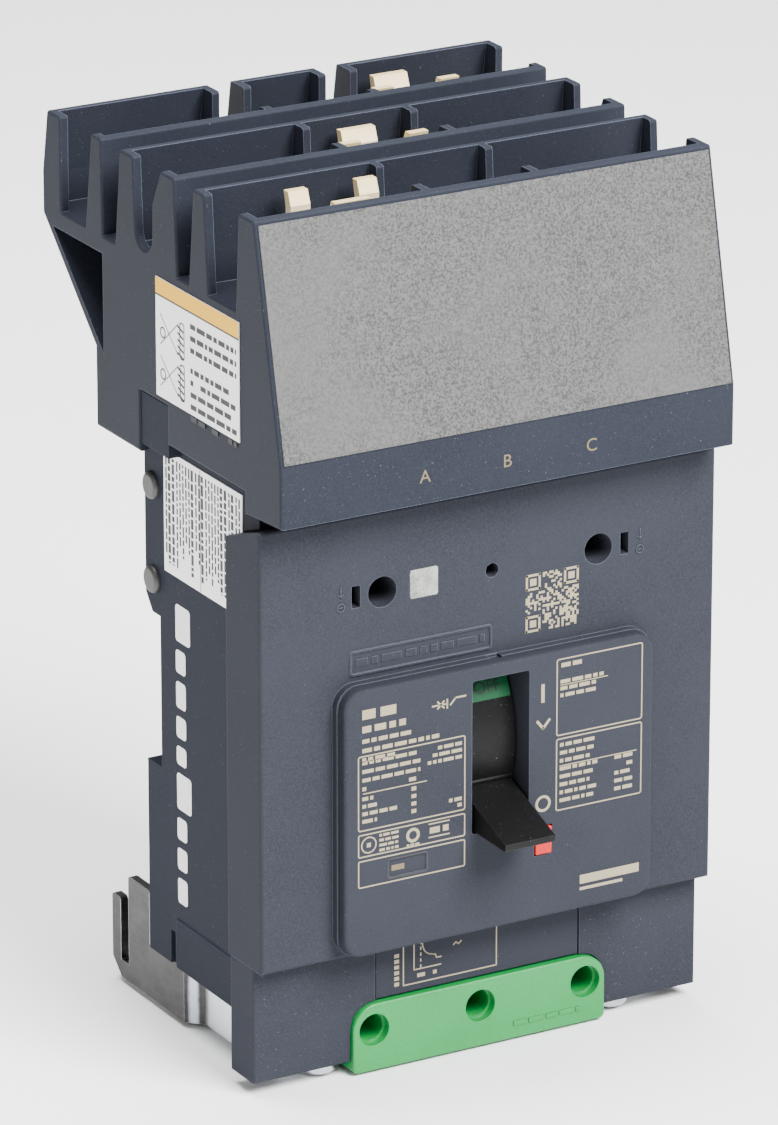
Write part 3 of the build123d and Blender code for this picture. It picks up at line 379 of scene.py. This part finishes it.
# ------------------------------------------------------------------ flat shapes laid on a face
FRONT = Matrix(((MM, 0, 0, 0), (0, 0, -MM, 0), (0, MM, 0, 0), (0, 0, 0, 1)))
LEFT = Matrix(((0, 0, -MM, 0), (-MM, 0, 0, 0), (0, MM, 0, 0), (0, 0, 0, 1)))


def front_at(depth):
    """Right and up seen from the front, on the plane at that depth; millimetres in."""
    return Matrix.Translation(at(0, depth, 0)) @ FRONT


def left_at(x):
    """Seen from the left side: right is towards the front, counted from the cover's face."""
    return Matrix.Translation(at(x, 0, 0)) @ LEFT


class Printing:
    """Flat shapes in millimetres, given a small thickness and laid on a face."""

    def __init__(self):
        self.sheet = bmesh.new()

    def bar(self, x, z, turn=0.0):
        """Filled rectangle between two x and two z, turned about its middle."""
        middle = Vector(((x[0] + x[1]) / 2, (z[0] + z[1]) / 2, 0))
        scale = Matrix.Diagonal((abs(x[1] - x[0]), abs(z[1] - z[0]), 1, 1))
        place = Matrix.Translation(middle) @ Matrix.Rotation(turn, 4, "Z") @ scale
        made = bmesh.ops.create_grid(self.sheet, x_segments=1, y_segments=1, size=0.5, matrix=place)
        return made["verts"]

    def rounded(self, x, z, radius):
        verts = self.bar(x, z)
        bmesh.ops.bevel(self.sheet, geom=verts, offset=radius, offset_type="OFFSET", affect="VERTICES",
                        segments=4, profile=0.5, material=-1)

    def frame(self, x, z, line=0.28, radius=0.7):
        """Outline of a rounded rectangle."""
        before = set(self.sheet.faces)
        self.rounded(x, z, radius)
        self.hollow(set(self.sheet.faces) - before, line)

    def hollow(self, faces, line):
        bmesh.ops.inset_region(self.sheet, faces=list(faces), thickness=line, use_even_offset=True,
                               use_boundary=True)
        bmesh.ops.delete(self.sheet, geom=list(faces), context="FACES")

    def disc(self, x, z, radius, line=0.0, segments=28):
        """Filled disc, or a ring when it is given a line."""
        before = set(self.sheet.faces)
        bmesh.ops.create_circle(self.sheet, cap_ends=True, radius=radius, segments=segments,
                                matrix=Matrix.Translation((x, z, 0)))
        if line:
            self.hollow(set(self.sheet.faces) - before, line)

    def stroke(self, points, line=0.28):
        """Run of straight lines through (x, z) points."""
        for (x0, z0), (x1, z1) in zip(points, points[1:]):
            length = math.hypot(x1 - x0, z1 - z0) + line * 0.6
            x, z = (x0 + x1) / 2, (z0 + z1) / 2
            self.bar((x - length / 2, x + length / 2), (z - line / 2, z + line / 2),
                     math.atan2(z1 - z0, x1 - x0))

    def words(self, x, z, height, seed, right=False, fill=1.0):
        """One line of plain dashes of uneven length between two x, like unreadably small print."""
        rng = random.Random(seed)
        place = x[0]
        while place < x[1] - 0.5:
            length = min(rng.uniform(0.9, 3.4) * height, x[1] - place)
            if rng.random() < fill:
                low, high = place, place + length
                if right:
                    low, high = x[0] + x[1] - high, x[0] + x[1] - low
                self.bar((low, high), (z - height / 2, z + height / 2))
            place += length + 0.55 * height

    def letters(self, text, x, z, height):
        """Plain capitals whose lower left corner is at x, z."""
        curve = bpy.data.curves.new("letters", "FONT")
        curve.body, curve.size = text, height / FONT_CAP
        holder = bpy.data.objects.new("letters", curve)
        bpy.context.collection.objects.link(holder)
        bpy.context.view_layer.update()
        flat = bpy.data.meshes.new_from_object(holder.evaluated_get(bpy.context.evaluated_depsgraph_get()))
        flat.transform(Matrix.Translation((x, z, 0)))
        self.sheet.from_mesh(flat)
        bpy.data.objects.remove(holder)
        bpy.data.curves.remove(curve)
        bpy.data.meshes.remove(flat)

    def finish(self, name, place, finish, slot, body="case", thickness=0.05, sink=0.02):
        """Thicken the shapes, lay them on the face and let them ride."""
        bm = self.sheet
        bmesh.ops.remove_doubles(bm, verts=bm.verts, dist=1e-5)
        lid = bmesh.ops.extrude_face_region(bm, geom=bm.faces[:], use_keep_orig=True)
        moved = [item for item in lid["geom"] if isinstance(item, bmesh.types.BMVert)]
        bmesh.ops.translate(bm, verts=moved, vec=(0, 0, thickness + sink))
        bmesh.ops.translate(bm, verts=bm.verts, vec=(0, 0, -sink))
        bmesh.ops.recalc_face_normals(bm, faces=bm.faces)
        return add_piece(bm, name, place, finish, body)


def add_piece(bm, name, place, finish, body):
    """Mesh object with its place in its vertices, riding on a body."""
    bmesh.ops.transform(bm, matrix=place, verts=bm.verts)
    bmesh.ops.recalc_face_normals(bm, faces=bm.faces)
    mesh = bpy.data.meshes.new(name)
    bm.to_mesh(mesh)
    bm.free()
    mesh.materials.append(FINISHES[finish])
    piece = bpy.data.objects.new(name, mesh)
    bpy.context.collection.objects.link(piece)
    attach(piece, body)
    return piece


# ------------------------------------------------------------------ settings
class BreakerPlastics(bpy.types.PropertyGroup):
    case_colour: bpy.props.FloatVectorProperty(
        name="Case", description="Colour of the dark case moulding", subtype="COLOR", size=3,
        min=0, max=1, default=(0.0185, 0.0210, 0.0290))
    cover_colour: bpy.props.FloatVectorProperty(
        name="Cover", description="Colour of the front cover moulding", subtype="COLOR", size=3,
        min=0, max=1, default=(0.0255, 0.0278, 0.0355))
    handle_colour: bpy.props.FloatVectorProperty(
        name="Handle", description="Colour of the toggle handle", subtype="COLOR", size=3,
        min=0, max=1, default=(0.0045, 0.0045, 0.0048))
    grain: bpy.props.FloatProperty(
        name="Grain", description="Size of the moulded surface texture", unit="LENGTH", precision=5,
        default=0.00032)


class BreakerPrint(bpy.types.PropertyGroup):
    line: bpy.props.FloatProperty(
        name="Line", description="Width of the printed lines", unit="LENGTH", precision=5, default=0.00030)
    proud: bpy.props.FloatProperty(
        name="Proud", description="Thickness of the ink film", unit="LENGTH", precision=5, default=0.00004)
    emboss: bpy.props.FloatProperty(
        name="Emboss", description="Height of moulded marks", unit="LENGTH", precision=5, default=0.00018)


class BreakerStage(bpy.types.PropertyGroup):
    floor_colour: bpy.props.FloatVectorProperty(
        name="Floor", description="Colour of the floor", subtype="COLOR", size=3, min=0, max=1,
        default=(0.93, 0.93, 0.93))
    key_power: bpy.props.FloatProperty(
        name="Key light", description="Power of the main light", unit="POWER", default=122.0)
    sky: bpy.props.FloatProperty(
        name="Sky", description="Strength of the white surroundings", default=0.36)
    lens: bpy.props.FloatProperty(
        name="Lens", description="Focal length of the camera", unit="CAMERA", default=238.7)


# ------------------------------------------------------------------ operators
class BREAKER_OT_case(bpy.types.Operator):
    """Give the case, cover, housing and frame their moulded finishes"""
    bl_idname = "breaker.case"
    bl_label = "Case Mouldings"

    def execute(self, context):
        make_finishes(context.scene.breaker_plastics)
        give("case", "rear_case")
        give("fins", "line_housing")
        give("cover", "front_cover", "escutcheon", "lower_front_frame", "trip_unit_cover")
        give("lens", "indicator_window")
        give("green", "terminal_plate")
        give("rivet", "case_rivets")
        give("bracket", "mounting_bracket")
        give("zinc", "bracket_screws", "cover_screws")
        return {"FINISHED"}


class BREAKER_OT_current_path(bpy.types.Operator):
    """Give jaws, straps, contacts and lugs their metal finishes"""
    bl_idname = "breaker.current_path"
    bl_label = "Current Path"

    def execute(self, context):
        give("jaw", *by_pole("line_jaw"))
        give("steel", *by_pole("jaw_spring", "magnet_yoke"))
        give("fibre", *by_pole("arc_chute"))
        give("copper", *by_pole("line_strap", "load_strap", "moving_contact", "bimetal"))
        give("lug", *by_pole("lug"))
        give("zinc", *by_pole("lug_screw"))
        return {"FINISHED"}


class BREAKER_OT_mechanism(bpy.types.Operator):
    """Finish the handle, flag, button and inner mechanism, and print the flag"""
    bl_idname = "breaker.mechanism"
    bl_label = "Mechanism"

    def execute(self, context):
        give("handle", "toggle_handle")
        give("flag", "position_flag")
        give("button", "trip_button")
        give("insulator", "contact_crossbar", "trip_bar")
        give("steel", "handle_yoke", "main_springs", "handle_pins", "mechanism_frame", "trip_button_spring")
        self.flag_print()
        self.handle_rib()
        return {"FINISHED"}

    def flag_print(self):
        """The word on the flag, bent round the barrel."""
        word = Printing()
        word.letters("OFF", -2.4, -1.4, 2.8)
        bm = word.sheet
        bmesh.ops.triangulate(bm, faces=bm.faces)
        bmesh.ops.subdivide_edges(bm, edges=[e for e in bm.edges if e.calc_length() > 0.6], cuts=2)
        piece = word.finish("flag_word", Matrix.Identity(4), "dark", "flag_green", "handle", 0.05, 0.0)
        for vertex in piece.data.vertices:
            angle = math.radians(FLAG_TURN + math.degrees(vertex.co.y / FLAG_RADIUS))
            vertex.co = round_pivot(vertex.co.x, FLAG_RADIUS + vertex.co.z, angle)

    def handle_rib(self):
        """Small rounded rib where the lever grows out of the barrel."""
        bm = bmesh.new()
        bmesh.ops.create_cone(bm, cap_ends=True, segments=20, radius1=0.55, radius2=0.55, depth=14.0)
        ends = [edge for edge in bm.edges if abs(edge.verts[0].co.z - edge.verts[1].co.z) < 1e-4]
        bmesh.ops.bevel(bm, geom=ends, offset=0.3, offset_type="OFFSET", affect="EDGES", segments=3,
                        profile=0.5, material=-1)
        centre = round_pivot(0, RIB_RADIUS, math.radians(RIB_TURN))
        place = Matrix.Translation(centre) @ Matrix.Rotation(math.pi / 2, 4, "Y") @ Matrix.Scale(MM, 4)
        smooth(add_piece(bm, "handle_rib", place, "handle", "handle"))


def smooth(piece):
    for face in piece.data.polygons:
        face.use_smooth = True


class BREAKER_OT_labels(bpy.types.Operator):
    """Finish the film and paper labels and print them with plain pictograms and dashes"""
    bl_idname = "breaker.labels"
    bl_label = "Labels"

    def execute(self, context):
        give("film", "line_label")
        give("paper", "side_label_upper", "side_label_lower")
        self.upper()
        self.lower()
        self.side_stripe()
        return {"FINISHED"}

    def upper(self):
        face = left_at(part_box("side_label_upper")[0].x / MM)
        header = Printing()
        header.bar((-46.6, -9.4), (169.9, 173.5))
        header.finish("side_label_header", face, "yellow", "label_white", thickness=0.03)
        dark = Printing()
        dark.bar((-46.6, -9.4), (169.5, 169.9))
        for row in range(3):
            dark.words((-31.0, -10.5), 166.6 - row * 2.7, 1.15, 11 + row)
        for row in range(5):
            dark.words((-31.0, -10.5), 156.6 - row * 2.7, 1.15, 31 + row, fill=0.9)
        for centre in (162.0, 152.6):
            dark.stroke([(-44.5, centre + 3.6), (-36.5, centre - 3.6)], 0.22)
            dark.stroke([(-44.5, centre - 3.2), (-36.5, centre + 3.4)], 0.22)
            dark.frame((-35.8, -33.6), (centre - 4.2, centre + 4.2), 0.3, 0.8)
            for step in range(5):
                dark.stroke([(-36.6, centre + 3.0 - step * 1.5), (-34.2, centre + 2.2 - step * 1.5)], 0.5)
            dark.disc(-43.4, centre - 0.4, 1.3, 0.35, 18)
        dark.finish("side_label_print", face, "dark", "label_white", thickness=0.04)

    def lower(self):
        top, column, last_column = 131.2, 49.6, 16.2
        dark = Printing()
        rng = random.Random(5)
        while column > last_column:
            bold = rng.random() < 0.18
            width = 1.05 if bold else 0.62
            place = top
            length = 24.5 if bold else rng.uniform(17, 25)
            end = place - length
            while place > end:
                dash = rng.uniform(0.7, 2.6)
                dark.bar((-column - width / 2, -column + width / 2), (max(end, place - dash), place))
                place -= dash + 0.5
            column -= width + 0.75
        dark.bar((-34.2, -34.0), (104.6, 132.2))
        dark.finish("side_label_columns", left_at(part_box("side_label_lower")[0].x / MM), "dark",
                    "label_white", thickness=0.04)

    def side_stripe(self):
        """Column of plain white bars down the side of the case."""
        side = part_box("side_label_lower")[1].x / MM
        white = Printing()
        height = 98.0
        for length, wide in ((8.6, 6.6), (5.4, 4.4), (6.2, 4.4), (5.0, 4.4), (4.4, 4.4), (8.6, 6.6),
                             (5.2, 4.4), (5.2, 4.4), (6.0, 4.4)):
            white.rounded((-46.3, -46.3 + wide), (height - length, height), 0.9)
            height -= length + 2.0
        white.finish("side_bar_print", left_at(side), "white", "label_white")


class BREAKER_OT_cover_marks(bpy.types.Operator):
    """Mark the cover with a scan pattern, phase letters and small moulded signs"""
    bl_idname = "breaker.cover_marks"
    bl_label = "Cover Marks"

    def execute(self, context):
        settings = context.scene.breaker_print
        proud, emboss = settings.proud / MM, settings.emboss / MM
        self.scan_pattern(proud)
        self.phase_letters(proud)
        self.moulded_signs(emboss)
        return {"FINISHED"}

    def scan_pattern(self, proud):
        """Square field of random cells with a plain ringed square in three corners."""
        rng = random.Random(27)
        code = Printing()
        count, corner = 25, 8
        cell = CODE_SIZE / count
        left, bottom = CODE_CORNER
        for row in range(count):
            for column in range(count):
                low_row, low_column = row < corner, column < corner
                high_row, high_column = row >= count - corner, column >= count - corner
                in_corner = (low_column and (low_row or high_row)) or (high_row and high_column)
                if not in_corner and rng.random() < 0.5:
                    x, z = left + column * cell, bottom + row * cell
                    code.bar((x, x + cell), (z, z + cell))
        reach = 7 * cell
        far = CODE_SIZE - reach
        for x, z in ((left, bottom), (left, bottom + far), (left + far, bottom + far)):
            code.frame((x, x + reach), (z, z + reach), cell, 0.02)
            code.bar((x + 2 * cell, x + 5 * cell), (z + 2 * cell, z + 5 * cell))
        code.finish("scan_pattern", front_at(0), "cream", "cover_plastic", thickness=proud)

    def phase_letters(self, proud):
        """The three phase letters on the housing's band."""
        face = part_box("line_housing")[0].y / MM + CASE_DEPTH
        marks = Printing()
        for letter, x in zip("ABC", (-22.6, -2.1, 18.7)):
            marks.letters(letter, x, 137.1, 3.0)
        marks.finish("phase_letters", front_at(face), "gold", "case_plastic", thickness=proud)

    def moulded_signs(self, emboss):
        signs = Printing()
        for x, turn in ((-37.3, 1), (37.7, -1)):
            signs.disc(x, 108.9, 1.05, 0.28, 20)
            signs.stroke([(x - 0.5, 108.9), (x + 0.5, 108.9)], 0.25)
            signs.stroke([(x, 111.2), (x, 113.6)], 0.28)
            signs.stroke([(x - 0.7 * turn, 112.0), (x, 111.2), (x + 0.7 * turn, 112.0)], 0.25)
        signs.words((-33.6, -1.6), 95.6, 1.7, 71)
        signs.frame((-53.9, -41.6), (138.9, 142.6), 0.3, 0.5)
        signs.finish("moulded_signs", front_at(0), "cover", "cover_plastic", thickness=emboss)


class BREAKER_OT_nose_print(bpy.types.Operator):
    """Print the frames, scale marks and plain text dashes on the nose"""
    bl_idname = "breaker.nose_print"
    bl_label = "Nose Print"

    def execute(self, context):
        settings = context.scene.breaker_print
        line, proud = settings.line / MM, settings.proud / MM
        art = Printing()
        self.left_frames(art, line)
        self.right_frames(art, line)
        self.positions(art)
        self.symbol(art, line)
        art.finish("nose_print", front_at(NOSE_FACE), "cream", "cover_plastic", thickness=proud)
        self.rating_rim(proud)
        return {"FINISHED"}

    def left_frames(self, art, line):
        art.words((-34.6, -26.2), 85.3, 2.2, 3)
        art.words((-34.6, -23.8), 81.9, 1.5, 4)
        for row, right in enumerate((-22.5, -15.5, -25.5)):
            art.words((-34.6, right), 79.2 - row * 2.15, 0.95, 41 + row)
        art.frame((-35.7, -8.9), (58.4, 75.9), line, 0.6)
        for row in range(3):
            art.words((-34.6, -20.2), 74.2 - row * 2.0, 0.85, 51 + row)
            art.words((-15.8 - row * 1.3, -9.8), 74.2 - row * 1.55, 0.8, 61 + row, right=True)
        art.stroke([(-34.4, 67.1), (-18.6, 67.1)], line * 0.8)
        art.words((-23.0, -20.6), 68.2, 0.9, 65)
        art.words((-34.6, -32.8), 68.2, 0.9, 66)
        for row in range(4):
            art.words((-34.6, -31.0 + (5.0 if row == 2 else 0.0)), 65.9 - row * 1.75, 0.85, 71 + row)
            art.bar((-22.4, -21.2), (65.5 - row * 1.75, 66.4 - row * 1.75))
        art.words((-13.0, -9.8), 61.3, 0.85, 81, right=True)
        art.words((-11.4, -9.8), 59.9, 0.85, 82, right=True)
        art.frame((-35.7, -8.9), (52.3, 57.7), line, 0.5)
        art.disc(-33.0, 55.0, 1.95, 0.32)
        art.bar((-33.5, -32.5), (54.5, 55.5))
        for row in range(4):
            art.words((-30.4, -25.6), 56.7 - row * 1.15, 0.6, 91 + row)
        art.disc(-22.0, 55.1, 1.7, 0.7)
        art.words((-23.6, -20.4), 52.9, 0.5, 97)
        for z in (53.7, 56.8):
            art.stroke([(-18.0, z), (-12.9, z)], line)
        art.words((-17.8, -13.1), 55.25, 1.4, 98)
        art.frame((-35.7, -8.9), (45.2, 51.6), line, 0.5)

    def right_frames(self, art, line):
        art.words((15.2, 20.4), 87.4, 1.0, 101)
        art.frame((14.0, 36.0), (71.0, 89.0), line, 0.6)
        for row, z in enumerate((83.6, 82.0, 80.4)):
            art.words((15.0, 26.0 - row), z, 0.85, 111 + row)
        art.stroke([(15.0, 82.8), (27.0, 82.8)], line * 0.7)
        art.frame((14.0, 36.0), (53.4, 70.4), line, 0.6)
        for row in range(8):
            z = 68.8 - row * 1.86
            art.words((15.0, 24.6 - (row % 3)), z, 0.85, 121 + row)
            if row > 2:
                art.words((29.0, 33.6), z, 0.85, 141 + row, fill=0.8)
        art.stroke([(15.0, 63.9), (34.6, 63.9)], line * 0.7)
        art.bar((20.4, 35.6), (34.9, 37.0))
        art.bar((20.4, 31.4), (33.4, 34.1))

    def positions(self, art):
        """On, tripped and off marks beside the handle."""
        art.bar((10.15, 11.0), (79.6, 83.9))
        art.stroke([(9.2, 75.4), (10.7, 73.6), (12.3, 75.4)], 0.62)
        art.disc(10.8, 55.9, 1.95, 0.62)

    def symbol(self, art, line):
        """Switch sign: a cross, a bar and a rising arm."""
        z = 84.0
        art.stroke([(-17.2, z), (-13.6, z)], line * 1.3)
        for turn in (1, -1):
            art.stroke([(-15.9, z - turn * 0.8), (-14.3, z + turn * 0.8)], line * 1.3)
        art.stroke([(-13.5, z - 1.0), (-13.5, z + 1.0)], line * 1.3)
        art.stroke([(-12.7, z - 0.4), (-11.4, z + 1.0), (-8.9, z + 1.0)], line * 1.4)

    def rating_rim(self, proud):
        rim = Printing()
        rim.frame((-28.35, -18.25), (45.95, 50.75), 0.38, 0.7)
        rim.finish("rating_rim", front_at(NOSE_FACE), "dark", "cover_plastic", thickness=proud)
        tint = Printing()
        tint.words((-27.2, -24.0), 48.3, 1.3, 151)
        tint.finish("rating_print", front_at(NOSE_FACE + 0.3), "gold", "cover_plastic", thickness=proud)


class BREAKER_OT_load_end(bpy.types.Operator):
    """Print the trip curve and mould small signs into the terminal plate"""
    bl_idname = "breaker.load_end"
    bl_label = "Load End"

    def execute(self, context):
        settings = context.scene.breaker_print
        line, proud, emboss = settings.line / MM, settings.proud / MM, settings.emboss / MM
        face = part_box("trip_unit_cover")[0].y / MM + CASE_DEPTH
        art = Printing()
        art.stroke([(-18.9, 27.0), (-18.9, 15.4), (4.8, 15.4), (4.8, 27.0)], line)
        art.stroke([(-16.2, 27.0), (-16.2, 18.6), (-9.4, 18.6)], line)
        for step in range(6):
            art.stroke([(-14.5, 18.9 + step * 1.4), (-14.5, 19.5 + step * 1.4)], line)
        curve = [(-14.4 + 0.4 * step, 20.6 + 6.0 / (1 + step * 0.9)) for step in range(10)]
        art.stroke(curve + [(-10.5, 20.4), (-9.3, 20.4)], line)
        art.words((-15.4, -13.2), 17.1, 0.9, 161)
        art.words((-11.4, -9.9), 17.1, 0.9, 162)
        art.words((-6.4, 1.0), 25.6, 0.95, 163)
        art.stroke([(-6.2, 22.5), (-5.6, 23.1), (-4.9, 22.5), (-4.2, 23.1)], line)
        for step in range(6):
            art.bar((-21.2, -20.0), (15.6 + step * 1.35, 16.5 + step * 1.35))
        art.finish("trip_curve_print", front_at(face), "cream", "cover_plastic", thickness=proud)
        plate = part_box("terminal_plate")[0].y / MM + CASE_DEPTH
        signs = Printing()
        signs.words((8.5, 25.5), 0.9, 1.15, 171)
        signs.finish("plate_signs", front_at(plate), "green", "terminal_green", thickness=emboss)
        return {"FINISHED"}


class BREAKER_OT_stage(bpy.types.Operator):
    """Lay the floor and set the lights and the camera"""
    bl_idname = "breaker.stage"
    bl_label = "Stage"

    def execute(self, context):
        stage = context.scene.breaker_stage
        self.floor(stage.floor_colour)
        self.camera(stage.lens)
        middle = (Vector(CAD_BOX[0]) + Vector(CAD_BOX[1])) / 2
        for name, place, size, part in LIGHTS:
            self.light(name, Vector(place), middle, size, stage.key_power * part)
        world = bpy.data.worlds.new("studio")
        world.use_nodes = True
        world.node_tree.nodes["Background"].inputs["Color"].default_value = (1, 1, 1, 1)
        world.node_tree.nodes["Background"].inputs["Strength"].default_value = stage.sky
        context.scene.world = world
        return {"FINISHED"}

    def floor(self, colour):
        bm = bmesh.new()
        place = Matrix.Translation((0, 0, LOWEST - FLOOR_DROP))
        bmesh.ops.create_grid(bm, x_segments=1, y_segments=1, size=FLOOR_SIZE, matrix=place)
        mesh = bpy.data.meshes.new("floor")
        bm.to_mesh(mesh)
        bm.free()
        f = Finish("floor_paper")
        cloud = f.noise(3.0, 2.0)
        base = f.mix(cloud * 0.2, shade(colour, 1.0), shade(colour, 0.985))
        mesh.materials.append(f.done(Base_Color=base, Roughness=0.9))
        piece = bpy.data.objects.new("floor", mesh)
        bpy.context.collection.objects.link(piece)

    def light(self, name, place, target, size, power):
        lamp = bpy.data.lights.new(name, "AREA")
        lamp.shape = "RECTANGLE"
        lamp.size, lamp.size_y, lamp.energy = size[0], size[1], power
        holder = bpy.data.objects.new(name, lamp)
        holder.location = place
        holder.rotation_euler = (target - place).to_track_quat("-Z", "Y").to_euler()
        bpy.context.collection.objects.link(holder)

    def camera(self, lens):
        data = bpy.data.cameras.new("camera")
        data.lens = lens
        data.clip_end = CAMERA_REACH
        holder = bpy.data.objects.new("camera", data)
        holder.location = CAMERA_PLACE
        holder.rotation_euler = Vector(CAMERA_FORWARD).to_track_quat("-Z", "Y").to_euler()
        bpy.context.collection.objects.link(holder)
        bpy.context.scene.camera = holder


class BREAKER_PT_panel(bpy.types.Panel):
    """Breaker settings and pieces"""
    bl_idname = "BREAKER_PT_panel"
    bl_label = "Molded Case Breaker"
    bl_space_type = "VIEW_3D"
    bl_region_type = "UI"
    bl_category = "Breaker"

    def draw(self, context):
        scene = context.scene
        for group in (scene.breaker_plastics, scene.breaker_print, scene.breaker_stage):
            box = self.layout.box()
            for name in group.__annotations__:
                box.prop(group, name)
        for operator in OPERATORS:
            self.layout.operator(operator.bl_idname)


OPERATORS = (
    BREAKER_OT_case,
    BREAKER_OT_current_path,
    BREAKER_OT_mechanism,
    BREAKER_OT_labels,
    BREAKER_OT_cover_marks,
    BREAKER_OT_nose_print,
    BREAKER_OT_load_end,
    BREAKER_OT_stage,
)
GROUPS = {
    "breaker_plastics": BreakerPlastics,
    "breaker_print": BreakerPrint,
    "breaker_stage": BreakerStage,
}


def register():
    for name, group in GROUPS.items():
        bpy.utils.register_class(group)
        setattr(bpy.types.Scene, name, bpy.props.PointerProperty(type=group))
    for operator in OPERATORS:
        bpy.utils.register_class(operator)
    bpy.utils.register_class(BREAKER_PT_panel)


def unregister():
    bpy.utils.unregister_class(BREAKER_PT_panel)
    for operator in reversed(OPERATORS):
        bpy.utils.unregister_class(operator)
    for name, group in GROUPS.items():
        delattr(bpy.types.Scene, name)
        bpy.utils.unregister_class(group)


def main():
    register()
    for operator in OPERATORS:
        family, name = operator.bl_idname.split(".")
        getattr(getattr(bpy.ops, family), name)()


if __name__ == "__main__":
    main()
